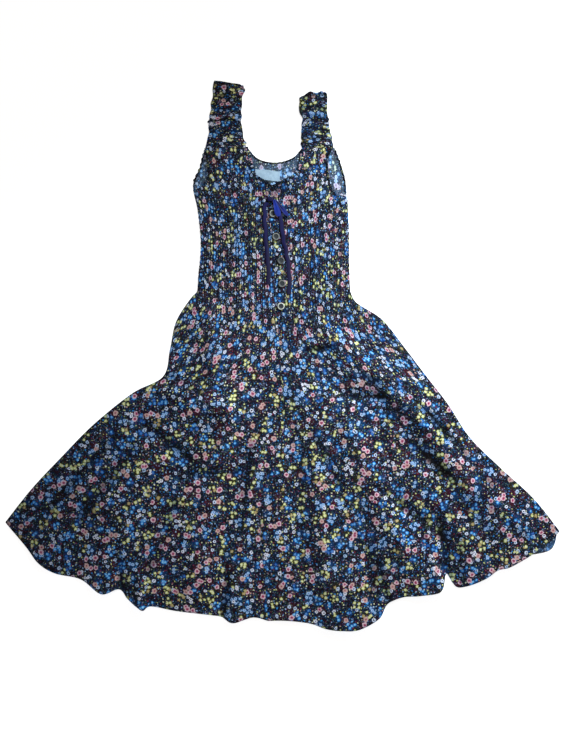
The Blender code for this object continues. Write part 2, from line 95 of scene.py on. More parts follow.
def along(rows: Array, share: Array | float) -> Array:
    """Values on one smooth curve through the rows.

    Args:
        rows: One row of numbers for each point of the curve.
        share: How far along the rows, from 0 to 1.

    Returns:
        One row of numbers for each share.
    """
    share = np.atleast_1d(np.asarray(share, dtype=float))
    last = len(rows) - 1
    place = np.clip(share, 0, 1) * last
    index = np.minimum(place.astype(int), last - 1)
    t = (place - index)[:, None]
    before, start = rows[np.maximum(index - 1, 0)], rows[index]
    end, after = rows[index + 1], rows[np.minimum(index + 2, last)]
    return 0.5 * (
        2 * start
        + (end - before) * t
        + (2 * before - 5 * start + 4 * end - after) * t**2
        + (3 * start - 3 * end + after - before) * t**3
    )


def mix(a: Array | float, b: Array | float, share: Array | float) -> Array | float:
    """Part of the way from a to b."""
    return a + (b - a) * share


def ease(low: float, high: float, value: Array | float) -> Array:
    """0 at low, 1 at high, smooth between."""
    t = np.clip((np.asarray(value, dtype=float) - low) / (high - low), 0, 1)
    return t * t * (3 - 2 * t)


def bell(distance: Array, width: float) -> Array:
    """A smooth hump, 1 where the distance is 0."""
    return np.exp(-((distance / width) ** 2))


def pleats(turns: Array) -> Array:
    """Rounded ridges with sharp pinches between them, from 0 to 1, a ridge to each turn."""
    return np.abs(np.sin(math.pi * turns))


def from_middle(share: Array, power: Array | float) -> Array:
    """0 in the middle of the width, 1 at both edges, steeper with the power."""
    return np.abs(2 * share - 1) ** power


def steady(value: float) -> Callable[[Array], Array]:
    """The same value at every share."""
    return lambda share: np.full_like(share, value)


@dataclass
class SoftNoise:
    """Smooth value noise on a plane, the same on every run."""

    seed: int
    size: int = 64
    lattice: Array = field(init=False)

    def __post_init__(self) -> None:
        """Draws the lattice's values."""
        self.lattice = np.random.default_rng(self.seed).uniform(-1, 1, (self.size, self.size))

    def at(self, x: Array | float, y: Array | float) -> Array:
        """The noise at points.

        Args:
            x: First coordinate, in lattice steps.
            y: Second coordinate, in lattice steps.

        Returns:
            Values from -1 to 1.
        """
        x, y = np.broadcast_arrays(np.asarray(x, dtype=float), np.asarray(y, dtype=float))
        i, j = np.floor(x).astype(int), np.floor(y).astype(int)
        u, v = x - i, y - j
        u, v = u * u * (3 - 2 * u), v * v * (3 - 2 * v)
        n = self.size
        corner = [self.lattice[(i + a) % n, (j + b) % n] for a in (0, 1) for b in (0, 1)]
        return mix(mix(corner[0], corner[1], v), mix(corner[2], corner[3], v), u)


# ---------------------------------------------------------------- cloth meshes


@dataclass(frozen=True)
class Panel:
    """One sheet of cloth, worked out on a grid and given its thickness.

    Args:
        name: The piece's name.
        columns: Faces across.
        rows: Faces along.
        place: Where a point of the grid lies, from its two shares.
        cut: Where it was on the flat cloth, in metres.
        wall: Thickness of the cloth.
        shade: Painted shade: 0 where the cloth lies plain, 1 deep between gathers, below 0 a painted
            highlight where it catches the light.
        both_ways: Whether the thickness goes to both sides of the grid.
    """

    name: str
    columns: int
    rows: int
    place: Place
    cut: Place
    wall: float = 0.0006
    shade: Place | None = None
    both_ways: bool = False

    def build(self, finish: Material, under: Material | None = None) -> Object:
        """Makes the piece.

        Args:
            finish: The material of the side that faces up.
            under: The material of the other side, where it differs.

        Returns:
            The piece, with its maps and its material.
        """
        bm = bmesh.new()
        bmesh.ops.create_grid(bm, x_segments=self.columns, y_segments=self.rows, size=0.5)
        shares = np.array([(v.co.x + 0.5, v.co.y + 0.5) for v in bm.verts])
        across, up = shares.T
        for vert, point in zip(bm.verts, self.place(across, up) + LAY_SHIFT):
            vert.co = point
        bm.normal_update()
        if sum(face.normal.z for face in bm.faces) < 0:
            bmesh.ops.reverse_faces(bm, faces=bm.faces[:])
        obj = new_object(self.name, bm)
        self._add_maps(obj.data, self.cut(across, up), shares)
        add_painted_shade(obj, 0 * across if self.shade is None else self.shade(across, up))
        dress(obj, finish)
        if under is not None:
            obj.data.materials.append(under)
        self._thicken(obj, under is not None)
        return obj

    def _add_maps(self, mesh: bpy.types.Mesh, cut: Array, shares: Array) -> None:
        """Adds the cut's map, in metres, and a map of the grid's shares."""
        corner = np.empty(len(mesh.loops), dtype=np.int32)
        mesh.loops.foreach_get("vertex_index", corner)
        for name, spots in (("Cut", cut), ("Shares", shares)):
            layer = mesh.uv_layers.new(name=name)
            layer.data.foreach_set("uv", spots[corner].astype(np.float32).ravel())

    def _thicken(self, obj: Object, two_sided: bool) -> None:
        """Gives the sheet its thickness, below its face or to both sides."""
        solid = obj.modifiers.new("cloth thickness", "SOLIDIFY")
        solid.thickness = self.wall
        solid.offset = 0 if self.both_ways else -1
        solid.material_offset = int(two_sided)
        bake_modifiers(obj)
        smooth(obj)


def bake_modifiers(obj: Object) -> None:
    """Applies a piece's modifiers to its mesh."""
    graph = bpy.context.evaluated_depsgraph_get()
    mesh = bpy.data.meshes.new_from_object(obj.evaluated_get(graph))
    obj.modifiers.clear()
    old, obj.data = obj.data, mesh
    bpy.data.meshes.remove(old)
    mesh.name = obj.name


def smooth(obj: Object, sharp_from: float = 60.0) -> None:
    """Shades a piece smooth, but for the edges that turn more than an angle in degrees."""
    obj.data.shade_smooth()
    obj.data.set_sharp_from_angle(angle=math.radians(sharp_from))


def dress(obj: Object, finish: Material) -> None:
    """Gives a piece its material, shades it smooth and puts it on the body."""
    obj.data.materials.clear()
    obj.data.materials.append(finish)
    smooth(obj)
    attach(obj, BODY)


def declare(obj: Object, node: str) -> Object:
    """Hides the CAD node that a piece stands for."""
    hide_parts(node)
    return obj


def add_painted_shade(obj: Object, depth: Array) -> None:
    """Stores each point's painted shade, which the piece's material reads."""
    layer = obj.data.attributes.new("gather", "FLOAT", "POINT")
    layer.data.foreach_set("value", depth.astype(np.float32))


def new_object(name: str, bm: bmesh.types.BMesh) -> Object:
    """An object of the bmesh, which it frees."""
    mesh = bpy.data.meshes.new(name)
    bm.to_mesh(mesh)
    bm.free()
    obj = bpy.data.objects.new(name, mesh)
    bpy.context.scene.collection.objects.link(obj)
    return obj


# ---------------------------------------------------------------- shader graphs


Socket = bpy.types.NodeSocket
Input = "Socket | float | tuple"


class Graph:
    """A node tree, with short ways to add to it."""

    def __init__(self, tree: Tree) -> None:
        """Keeps the tree."""
        self.tree = tree

    def node(self, kind: str, **settings: object) -> bpy.types.Node:
        """Adds a node.

        Args:
            kind: The node's type.
            settings: Its properties.

        Returns:
            The node.
        """
        node = self.tree.nodes.new(kind)
        for key, value in settings.items():
            setattr(node, key, value)
        return node

    def feed(self, socket: Socket, value: Input) -> None:
        """Links a socket, or sets its value."""
        if isinstance(value, bpy.types.NodeSocket):
            self.tree.links.new(value, socket)
        else:
            socket.default_value = value

    def math(self, operation: str, *inputs: Input) -> Socket:
        """A Math node's result."""
        node = self.node("ShaderNodeMath", operation=operation)
        for socket, value in zip(node.inputs, inputs):
            self.feed(socket, value)
        return node.outputs[0]

    def times(self, a: Input, b: Input) -> Socket:
        """Their product."""
        return self.math("MULTIPLY", a, b)

    def line(self, value: Input, slope: Input, start: Input) -> Socket:
        """The value times the slope, plus the start."""
        return self.math("MULTIPLY_ADD", value, slope, start)

    def vector(self, operation: str, *inputs: Input, scale: float | None = None) -> Socket:
        """A Vector Math node's result, its value where it gives one number."""
        node = self.node("ShaderNodeVectorMath", operation=operation)
        for socket, value in zip(node.inputs, inputs):
            self.feed(socket, value)
        if scale is not None:
            node.inputs["Scale"].default_value = scale
        return node.outputs["Value" if operation in ("LENGTH", "DISTANCE") else "Vector"]

    def ramp(self, value: Socket, low: Input, high: Input, start: float = 0.0, end: float = 1.0) -> Socket:
        """A smooth step: start up to low, end from high on."""
        node = self.node("ShaderNodeMapRange", interpolation_type="SMOOTHSTEP")
        for socket, given in zip(node.inputs, (value, low, high, start, end)):
            self.feed(socket, given)
        return node.outputs[0]

    def blend(self, factor: Input, a: Input, b: Input, kind: str = "MIX") -> Socket:
        """Two colours mixed."""
        node = self.node("ShaderNodeMix", data_type="RGBA", blend_type=kind)
        for socket, given in zip((node.inputs[0], node.inputs[6], node.inputs[7]), (factor, a, b)):
            self.feed(socket, given)
        return node.outputs[2]

    def tinted(self, colour: Input, by: Input) -> Socket:
        """A colour multiplied by another or by a number."""
        return self.blend(1.0, colour, by, "MULTIPLY")

    def noise(self, vector: Socket, scale: float, detail: float = 2.0, roughness: float = 0.5) -> Socket:
        """A plane's noise, from 0 to 1."""
        node = self.node("ShaderNodeTexNoise", noise_dimensions="2D")
        settings = {"Vector": vector, "Scale": scale, "Detail": detail, "Roughness": roughness}
        for name, given in settings.items():
            self.feed(node.inputs[name], given)
        return node.outputs["Fac"]

    def cells(self, vector: Socket, randomness: float, feature: str = "F1") -> bpy.types.Node:
        """A Voronoi node on a plane with cells one unit across."""
        node = self.node("ShaderNodeTexVoronoi", voronoi_dimensions="2D", feature=feature)
        for name, given in (("Vector", vector), ("Scale", 1.0), ("Randomness", randomness)):
            self.feed(node.inputs[name], given)
        return node

    def split(self, colour: Socket) -> list[Socket]:
        """A colour's or vector's three numbers."""
        node = self.node("ShaderNodeSeparateXYZ")
        self.feed(node.inputs[0], colour)
        return list(node.outputs)

    def join(self, x: Input, y: Input) -> Socket:
        """A vector in the plane."""
        node = self.node("ShaderNodeCombineXYZ")
        self.feed(node.inputs[0], x)
        self.feed(node.inputs[1], y)
        return node.outputs[0]

    def between(self, value: Socket, low: float, high: float) -> Socket:
        """1 where the value is from low to high, else 0."""
        return self.times(self.math("GREATER_THAN", value, low), self.math("LESS_THAN", value, high))


def new_group(name: str, inputs: dict[str, str], outputs: dict[str, str]) -> tuple[Graph, dict, dict]:
    """A shader node group.

    Args:
        name: The group's name.
        inputs: Kind of each input socket, by name.
        outputs: Kind of each output socket, by name.

    Returns:
        Its graph, the sockets that bring the inputs and the sockets that take the outputs.
    """
    tree = bpy.data.node_groups.new(name, "ShaderNodeTree")
    for sockets, way in ((inputs, "INPUT"), (outputs, "OUTPUT")):
        for socket, kind in sockets.items():
            tree.interface.new_socket(socket, in_out=way, socket_type=f"NodeSocket{kind}")
    graph = Graph(tree)
    entry, leave = graph.node("NodeGroupInput"), graph.node("NodeGroupOutput")
    return (
        graph,
        {socket: entry.outputs[socket] for socket in inputs},
        {socket: leave.inputs[socket] for socket in outputs},
    )


def srgb(red: float, green: float, blue: float) -> tuple[float, float, float, float]:
    """A colour as a screen shows it, made linear."""

    def linear(value: float) -> float:
        return value / 12.92 if value <= 0.04045 else ((value + 0.055) / 1.055) ** 2.4

    return linear(red), linear(green), linear(blue), 1.0


class Motif(Enum):
    """The kinds of flower in the print, each with its share of the clusters."""

    AZURE = (0.00, 0.23)
    POWDER = (0.23, 0.37)
    ROSE = (0.37, 0.65)
    YELLOW = (0.65, 0.90)
    RING = (0.90, 0.97)


@dataclass(frozen=True)
class Bloom:
    """Where a point lies in the flower nearest to it, as sockets.

    out is its distance from the middle in flower radii, lengthwise and crosswise its place along
    and across the nearest petal, here 1 in flowers that stand in a cluster, and the rest are
    numbers that differ from flower to flower or from cluster to cluster.
    """

    out: Socket
    lengthwise: Socket
    crosswise: Socket
    here: Socket
    hue: Socket
    kind: Socket
    cluster_hue: Socket


@dataclass
class FloralPrint:
    """A dense all-over print of small flowers on a near-black ground.

    Flowers stand at the middles of scattered cells. A coarser set of cells says which kind each
    cluster of them is, so that a kind comes in ones to fives, and tints the ground round it.
    Sizes are in millimetres.
    """

    small_pitch: float = 8.6
    rose_pitch: float = 12.6
    ring_pitch: float = 19.0
    cluster_pitch: float = 21.0
    bud_pitch: float = 6.0
    speck_pitch: float = 3.4
    sprig_pitch: float = 13.0
    petals: int = 5
    ground: tuple = srgb(0.040, 0.045, 0.090)
    ground_teal: tuple = srgb(0.025, 0.125, 0.225)
    ground_plum: tuple = srgb(0.135, 0.058, 0.115)
    sea: tuple = srgb(0.040, 0.215, 0.400)
    wine: tuple = srgb(0.240, 0.070, 0.120)
    moss: tuple = srgb(0.170, 0.165, 0.080)
    cobalt: tuple = srgb(0.08, 0.29, 0.66)
    azure: tuple = srgb(0.22, 0.59, 0.90)
    pale_azure: tuple = srgb(0.64, 0.86, 0.98)
    powder: tuple = srgb(0.66, 0.79, 0.95)
    pink: tuple = srgb(0.74, 0.48, 0.58)
    pale_pink: tuple = srgb(0.90, 0.78, 0.82)
    crimson: tuple = srgb(0.58, 0.18, 0.32)
    peach: tuple = srgb(0.80, 0.66, 0.62)
    lime: tuple = srgb(0.84, 0.86, 0.56)
    olive: tuple = srgb(0.50, 0.49, 0.22)
    amber: tuple = srgb(0.64, 0.50, 0.33)
    white: tuple = srgb(0.92, 0.93, 1.00)
    red: tuple = srgb(0.50, 0.17, 0.27)
    plum: tuple = srgb(0.33, 0.16, 0.32)
    cream: tuple = srgb(0.93, 0.93, 0.78)
    lilac: tuple = srgb(0.55, 0.57, 0.72)
    sage: tuple = srgb(0.33, 0.45, 0.42)
    dusk: tuple = srgb(0.16, 0.32, 0.52)
    graph: Graph = field(init=False)
    spot: Socket = field(init=False)

    def build(self) -> Tree:
        """The print as a node group, from the place on the cut, in metres, to its colour."""
        outputs = {"Color": "Color", "Motif": "Float"}
        self.graph, given, taken = new_group("Floral print", {"Cut": "Vector"}, outputs)
        self.spot = self._wobble(self.graph.vector("SCALE", given["Cut"], scale=1000.0))
        colour, shown = self._specks(self._sprigs(self._ground()))
        for layer in (self._buds, self._rings, self._flowers):
            colour, motif = layer(colour)
            shown = self.graph.math("MAXIMUM", shown, motif)
        self.graph.feed(taken["Color"], colour)
        self.graph.feed(taken["Motif"], shown)
        return self.graph.tree

    def _wobble(self, spot: Socket) -> Socket:
        """Bends the plane a little, so that no flower is a perfect rosette."""
        bend = self.graph.node("ShaderNodeTexNoise", noise_dimensions="2D")
        self.graph.feed(bend.inputs["Vector"], spot)
        self.graph.feed(bend.inputs["Scale"], 0.24)
        shift = self.graph.vector("SUBTRACT", bend.outputs["Color"], (0.5, 0.5, 0.5))
        return self.graph.vector("ADD", spot, self.graph.vector("SCALE", shift, scale=4.0))

    def _cells(self, pitch: float, feature: str = "F1") -> bpy.types.Node:
        """Scattered cells of a size all over the cut."""
        return self.graph.cells(self.graph.vector("SCALE", self.spot, scale=1 / pitch), 1.0, feature)

    def _ground(self) -> Socket:
        """Navy near black, mottled with teal and plum, and tinted round each cluster."""
        graph, far = self.graph, (311.0, 97.0, 0.0)
        teal = graph.ramp(graph.noise(self.spot, 0.13, 3.0, 0.6), 0.42, 0.60)
        elsewhere = graph.vector("ADD", self.spot, far)
        plum = graph.ramp(graph.noise(elsewhere, 0.15, 3.0, 0.6), 0.46, 0.62)
        colour = graph.blend(teal, self.ground, self.ground_teal)
        colour = graph.blend(plum, colour, self.ground_plum)
        kinds = self._cells(self.cluster_pitch)
        kind = graph.split(kinds.outputs["Color"])[0]
        near = graph.ramp(kinds.outputs["Distance"], 0.24, 0.52, 0.8, 0.0)
        tints = {
            Motif.AZURE: self.sea, Motif.POWDER: self.sea, Motif.ROSE: self.wine, Motif.YELLOW: self.moss,
        }
        for motif, tint in tints.items():
            colour = graph.blend(graph.times(graph.between(kind, *motif.value), near), colour, tint)
        return colour

    def _sprigs(self, colour: Socket) -> Socket:
        """Thin broken stems between the flowers."""
        cell = self._cells(self.sprig_pitch, "DISTANCE_TO_EDGE")
        line = self.graph.ramp(cell.outputs["Distance"], 0.015, 0.055, 0.9, 0.0)
        broken = self.graph.ramp(self.graph.noise(self.spot, 0.30, 1.0), 0.50, 0.62)
        return self.graph.blend(self.graph.times(line, broken), colour, self.sage)

    def _dots(
        self, pitch: float, radii: tuple[float, float], most: float, tints: Rows
    ) -> tuple[Socket, Socket]:
        """Soft round dots, one to a cell.

        Args:
            pitch: Size of a cell.
            radii: The least radius and the spread above it, in cells.
            most: The share of the cells that have one.
            tints: From which share of them each colour is used. The first is 0.

        Returns:
            Where they are, from 0 to 1, and their colour.
        """
        graph, cell = self.graph, self._cells(pitch)
        pick, hue, size = graph.split(cell.outputs["Color"])
        radius = graph.line(size, radii[1], radii[0])
        dot = graph.ramp(graph.math("DIVIDE", cell.outputs["Distance"], radius), 0.5, 1.2, 1.0, 0.0)
        tint: Input = tints[0][1]
        for start, shown in tints[1:]:
            tint = graph.blend(graph.math("GREATER_THAN", hue, start), tint, shown)
        return graph.times(dot, graph.math("LESS_THAN", pick, most)), tint

    def _specks(self, colour: Socket) -> tuple[Socket, Socket]:
        """Dim specks and small leaves that fill the ground."""
        tints = ((0.0, self.dusk), (0.38, self.plum), (0.56, self.sage), (0.78, self.lilac))
        dot, tint = self._dots(self.speck_pitch, (0.20, 0.22), 0.62, tints)
        dot = self.graph.times(dot, 0.8)
        return self.graph.blend(dot, colour, tint), self.graph.times(dot, 0.7)

    def _buds(self, colour: Socket) -> tuple[Socket, Socket]:
        """Berries and buds scattered between the flowers."""
        tints = (
            (0.0, self.red), (0.13, self.azure), (0.32, self.lime), (0.50, self.peach), (0.62, self.cream),
            (0.76, self.powder),
        )
        dot, tint = self._dots(self.bud_pitch, (0.14, 0.15), 0.58, tints)
        return self.graph.blend(dot, colour, tint), dot

    def _rings(self, colour: Socket) -> tuple[Socket, Socket]:
        """Single pale flowers, open round a dark eye."""
        graph, cell = self.graph, self._cells(self.ring_pitch)
        pick, hue, size = graph.split(cell.outputs["Color"])
        out = graph.math("DIVIDE", cell.outputs["Distance"], graph.line(size, 0.05, 0.16))
        petals = graph.blend(hue, self.white, self.powder)
        tint = graph.blend(graph.ramp(out, 0.28, 0.46), self.ground, petals)
        ring = graph.times(graph.ramp(out, 0.80, 1.10, 1.0, 0.0), graph.math("LESS_THAN", pick, 0.48))
        return graph.blend(ring, colour, tint), ring

    def _bloom(self, pitch: float, randomness: float) -> Bloom:
        """The flower nearest to each point, in cells of a pitch."""
        graph = self.graph
        plane = graph.vector("SCALE", self.spot, scale=1 / pitch)
        cell = graph.cells(plane, randomness)
        turn, size, hue = graph.split(cell.outputs["Color"])
        middle = graph.vector("SCALE", cell.outputs["Position"], scale=pitch / self.cluster_pitch)
        kinds = graph.cells(middle, 1.0)
        kind, cluster_hue, cluster_size = graph.split(kinds.outputs["Color"])
        reach = graph.line(cluster_size, 0.20, 0.27)
        x, y, _ = graph.split(graph.vector("SUBTRACT", plane, cell.outputs["Position"]))
        out = graph.math("DIVIDE", graph.vector("LENGTH", graph.join(x, y)), graph.line(size, 0.10, 0.37))
        angle = graph.line(turn, TAU, graph.math("ARCTAN2", y, x))
        leaf = TAU / self.petals
        folded = graph.math("SUBTRACT", graph.math("FRACT", graph.math("DIVIDE", angle, leaf)), 0.5)
        folded = graph.times(folded, leaf)
        return Bloom(
            out=out,
            lengthwise=graph.times(out, graph.math("COSINE", folded)),
            crosswise=graph.times(out, graph.math("SINE", folded)),
            here=graph.math("LESS_THAN", kinds.outputs["Distance"], reach),
            hue=hue,
            kind=kind,
            cluster_hue=cluster_hue,
        )

    def _petals(self, bloom: Bloom, centre: float, length: float, width: float) -> Socket:
        """Ovals round the flower's middle and the middle itself, 1 inside them."""
        graph = self.graph
        lengthwise = graph.math("DIVIDE", graph.math("SUBTRACT", bloom.lengthwise, centre), length)
        oval = graph.join(lengthwise, graph.math("DIVIDE", bloom.crosswise, width))
        petals = graph.ramp(graph.vector("LENGTH", oval), 0.80, 1.15, 1.0, 0.0)
        return graph.math("MAXIMUM", petals, graph.ramp(bloom.out, centre * 0.5, centre, 1.0, 0.0))

    def _rounds(self, out: Socket, first: tuple, *more: tuple[float, float, tuple]) -> Input:
        """Colours one round the other, each after the first faded in between two distances."""
        colour: Input = first
        for start, end, tint in more:
            colour = self.graph.blend(self.graph.ramp(out, start, end), colour, tint)
        return colour

    def _flowers(self, colour: Socket) -> tuple[Socket, Socket]:
        """The flowers themselves, over everything else."""
        graph = self.graph
        small, large = self._bloom(self.small_pitch, 0.78), self._bloom(self.rose_pitch, 0.85)
        open_flower = self._petals(small, 0.56, 0.48, 0.38)
        ring = graph.times(graph.ramp(small.out, 0.72, 0.90, 1.0, 0.0), graph.ramp(small.out, 0.24, 0.42))
        rose_shape = self._petals(large, 0.46, 0.50, 0.54)

        blue = self._rounds(small.out, self.pale_azure, (0.15, 0.60, self.azure), (0.62, 1.0, self.cobalt))
        deep_cluster = graph.math("GREATER_THAN", small.cluster_hue, 0.45)
        deepened = graph.times(deep_cluster, graph.ramp(small.hue, 0.2, 1.0, 0.0, 0.8))
        blue = graph.blend(deepened, blue, self.cobalt)
        pale = self._rounds(small.out, self.cobalt, (0.14, 0.40, self.powder), (0.66, 1.0, self.azure))
        rose = self._rounds(
            large.out, self.crimson,
            (0.20, 0.46, self.pink), (0.44, 0.70, self.pale_pink), (0.80, 1.05, self.pink),
        )
        blossom = graph.times(graph.math("GREATER_THAN", large.hue, 0.66), 0.75)
        rose = graph.blend(graph.times(blossom, graph.ramp(large.out, 0.1, 0.4)), rose, self.peach)
        gold = self._rounds(small.out, self.cream, (0.25, 0.60, self.lime), (0.60, 1.0, self.olive))
        gold = graph.blend(graph.ramp(small.hue, 0.72, 0.90, 0.0, 0.7), gold, self.amber)

        shown = None
        for motif, bloom, shape, tint in (
            (Motif.AZURE, small, open_flower, blue),
            (Motif.POWDER, small, open_flower, pale),
            (Motif.ROSE, large, rose_shape, rose),
            (Motif.YELLOW, small, open_flower, gold),
            (Motif.RING, small, ring, self.white),
        ):
            mask = graph.times(graph.times(graph.between(bloom.kind, *motif.value), bloom.here), shape)
            colour = graph.blend(mask, colour, tint)
            shown = mask if shown is None else graph.math("MAXIMUM", shown, mask)
        return colour, shown


@dataclass(frozen=True)
class PlainWeave:
    """Threads over and under each other, and the crinkle of a light cotton."""

    threads_per_metre: float = 2600.0
    crinkle_scale: float = 260.0

    def build(self) -> Tree:
        """The weave as a node group, from the place on the cut to a height and a shade."""
        outputs = {"Height": "Float", "Shade": "Float"}
        graph, given, taken = new_group("Plain weave", {"Cut": "Vector"}, outputs)
        cut = given["Cut"]
        x, y, _ = graph.split(graph.vector("SCALE", cut, scale=self.threads_per_metre * math.pi))
        thread = graph.line(graph.times(graph.math("SINE", x), graph.math("SINE", y)), 0.5, 0.5)
        crinkle = graph.noise(cut, self.crinkle_scale, 3.0, 0.6)
        graph.feed(taken["Height"], graph.line(thread, 0.12, crinkle))
        slub = graph.noise(graph.vector("MULTIPLY", cut, (1.0, 6.0, 1.0)), 900.0, 1.0)
        # Shade: painted shade between the threads, with the slubs' own uneven tone.
        graph.feed(taken["Shade"], graph.line(thread, 0.08, graph.line(slub, 0.16, 0.86)))
        return graph.tree


class Surface(Graph):
    """A new material's node tree, with its shader."""

    def __init__(self, name: str, **plain: float | tuple) -> None:
        """Starts the material.

        Args:
            name: The material's name.
            plain: Values of the shader's inputs, by name with _ for a space.
        """
        self.material = bpy.data.materials.new(name)
        self.material.use_nodes = True
        super().__init__(self.material.node_tree)
        self.shader = self.tree.nodes["Principled BSDF"].inputs
        for key, value in plain.items():
            self.shader[key.replace("_", " ")].default_value = value

    def cut(self) -> Socket:
        """The place on the flat cloth, in metres."""
        return self.node("ShaderNodeUVMap", uv_map="Cut").outputs[0]

    def depth(self) -> Socket:
        """The painted shade at the point, from 0 to 1 and below 0 a painted highlight; on the buttons, the
        shell's own clouding.
        """
        return self.node("ShaderNodeAttribute", attribute_name="gather").outputs["Fac"]

    def finish(
        self, colour: Socket, rough: Socket, relief: Socket, strength: float, reach: float
    ) -> Material:
        """Completes the material.

        Args:
            colour: Its colour.
            rough: Its roughness.
            relief: Height of its fine relief.
            strength: How strongly the relief shows.
            reach: The relief's depth, in metres.

        Returns:
            The material.
        """
        bump = self.node("ShaderNodeBump")
        for name, value in (("Strength", strength), ("Distance", reach), ("Height", relief)):
            self.feed(bump.inputs[name], value)
        for name, value in (("Base Color", colour), ("Roughness", rough), ("Normal", bump.outputs[0])):
            self.feed(self.shader[name], value)
        return self.material


class ClothSide(Enum):
    """How far the ground and the flowers fade, what they fade to, and a factor on the side's brightness; the
    rolled edge's deep fade and low factor are painted shade.
    """

    RIGHT = (0.0, 0.0, srgb(0.10, 0.12, 0.17), 1.0)
    WRONG = (0.085, 0.46, srgb(0.66, 0.80, 0.93), 1.25)
    # Painted shade: the rolled edges drawn as the cloth faded towards black and dimmed.
    EDGE = (0.55, 0.55, srgb(0.06, 0.07, 0.11), 0.75)


@dataclass(frozen=True)
class PrintedCotton:
    """The dress's cloth, seen from one of its sides."""

    name: str
    side: ClothSide
    print_group: Tree
    weave_group: Tree
    painted_shade_dark: float = 0.60
    shadow_tint: tuple = (0.78, 0.98, 1.18, 1.0)

    def build(self) -> Material:
        """The material."""
        graph = Surface(self.name, Specular_IOR_Level=0.12, Sheen_Weight=0.04, Sheen_Roughness=0.5)
        cut, depth = graph.cut(), graph.depth()
        printed = graph.node("ShaderNodeGroup", node_tree=self.print_group)
        weave = graph.node("ShaderNodeGroup", node_tree=self.weave_group)
        graph.feed(printed.inputs["Cut"], cut)
        graph.feed(weave.inputs["Cut"], cut)
        ground_fade, flower_fade, faded, strength = self.side.value
        colour = printed.outputs["Color"]
        if ground_fade:
            fade = graph.ramp(printed.outputs["Motif"], 0.0, 1.0, ground_fade, flower_fade)
            colour = graph.blend(fade, colour, faded)
        # Painted shade: the colour darkens with the painted-shade attribute and takes on the shadow tint;
        # below 0 it is a painted highlight.
        light = graph.times(graph.line(depth, -self.painted_shade_dark, strength), weave.outputs["Shade"])
        colour = graph.tinted(graph.tinted(colour, light), graph.blend(depth, WHITE, self.shadow_tint))
        rough = graph.ramp(weave.outputs["Height"], 0.2, 0.9, 0.88, 0.70)
        return graph.finish(colour, rough, weave.outputs["Height"], 0.35, 0.0006)


@dataclass(frozen=True)
class Satin:
    """Woven satin ribbon: fine floats along its length and a soft gleam."""

    name: str
    deep: tuple = srgb(0.088, 0.073, 0.215)
    lit_tone: tuple = srgb(0.08, 0.21, 0.66)
    roughness: float = 0.55

    def build(self) -> Material:
        """The material."""
        graph = Surface(self.name, Anisotropic=0.4, Specular_IOR_Level=0.18)
        cut = graph.cut()
        floats = graph.noise(graph.vector("MULTIPLY", cut, (2400.0, 90.0, 1.0)), 1.0, 2.0)
        sway = graph.ramp(graph.noise(cut, 60.0, 1.0), 0.35, 0.65)
        # Painted light: the lit tone is the ribbon where its sheen catches the light, the deep tone where it
        # turns away; they mix at random, and the painted-shade attribute pulls the colour to the deep tone.
        colour = graph.blend(graph.times(sway, 0.35), self.lit_tone, self.deep)
        colour = graph.tinted(graph.blend(graph.depth(), colour, self.deep), graph.line(floats, 0.3, 0.82))
        return graph.finish(colour, graph.line(floats, 0.14, self.roughness - 0.07), floats, 0.2, 0.0002)


@dataclass(frozen=True)
class LabelTape:
    """A pale woven tape with fine ribs, blank."""

    name: str
    light: tuple = srgb(0.71, 0.83, 0.92)
    shade_and_mottle: tuple = srgb(0.60, 0.72, 0.83)

    def build(self) -> Material:
        """The material."""
        graph = Surface(self.name, Sheen_Weight=0.15)
        cut = graph.cut()
        x, y, _ = graph.split(graph.vector("SCALE", cut, scale=9000.0))
        rib = graph.line(graph.math("SINE", y), 0.5, 0.5)
        rib = graph.times(rib, graph.line(graph.math("SINE", x), 0.25, 0.75))
        mottle = graph.ramp(graph.noise(cut, 160.0, 2.0), 0.3, 0.7)
        # Painted shade at the folded ends and long edges, from the attribute, and the tape's own mottling
        # both pull it to the darker tone.
        shade = graph.math("MAXIMUM", graph.depth(), graph.times(mottle, 0.5))
        colour = graph.tinted(graph.blend(shade, self.light, self.shade_and_mottle), graph.line(rib, 0.10, 0.92))
        return graph.finish(colour, graph.line(rib, 0.15, 0.45), rib, 0.3, 0.0002)


@dataclass(frozen=True)
class ShellButton:
    """Polished shell: a pale grey-green rim that clouds over to a smoky middle."""

    name: str
    rim: tuple = srgb(0.88, 0.90, 0.86)
    cloud: tuple = srgb(0.48, 0.50, 0.49)
    smoke: tuple = srgb(0.20, 0.22, 0.24)

    def build(self) -> Material:
        """The material."""
        graph = Surface(self.name, Specular_IOR_Level=0.3)
        spot = graph.node("ShaderNodeTexCoord").outputs["Object"]
        veins = graph.noise(graph.vector("MULTIPLY", spot, (1.0, 2.2, 1.0)), 420.0, 3.0, 0.6)
        colour = graph.blend(graph.ramp(veins, 0.5, 0.8), self.rim, self.cloud)
        colour = graph.blend(graph.depth(), colour, self.smoke)
        return graph.finish(colour, graph.ramp(veins, 0.3, 0.7, 0.42, 0.56), veins, 0.15, 0.0003)


@dataclass(frozen=True)
class Finishes:
    """Every finish of the dress, built once."""

    printed: Material
    wrong_side: Material
    # The rolled edges' material: the printed cotton in painted shade.
    edge: Material
    satin: Material
    label: Material
    shell: Material

    @classmethod
    def build(cls) -> "Finishes":
        """Builds them, with the node groups that the cloths share."""
        groups = FloralPrint().build(), PlainWeave().build()
        return cls(
            printed=PrintedCotton("Printed cotton", ClothSide.RIGHT, *groups).build(),
            wrong_side=PrintedCotton("Printed cotton, wrong side", ClothSide.WRONG, *groups, 0.3).build(),
            edge=PrintedCotton("Dark rolled edge", ClothSide.EDGE, *groups).build(),
            satin=Satin("Satin ribbon").build(),
            label=LabelTape("Label tape").build(),
            shell=ShellButton("Shell button").build(),
        )


# ---------------------------------------------------------------- how the cloth lies


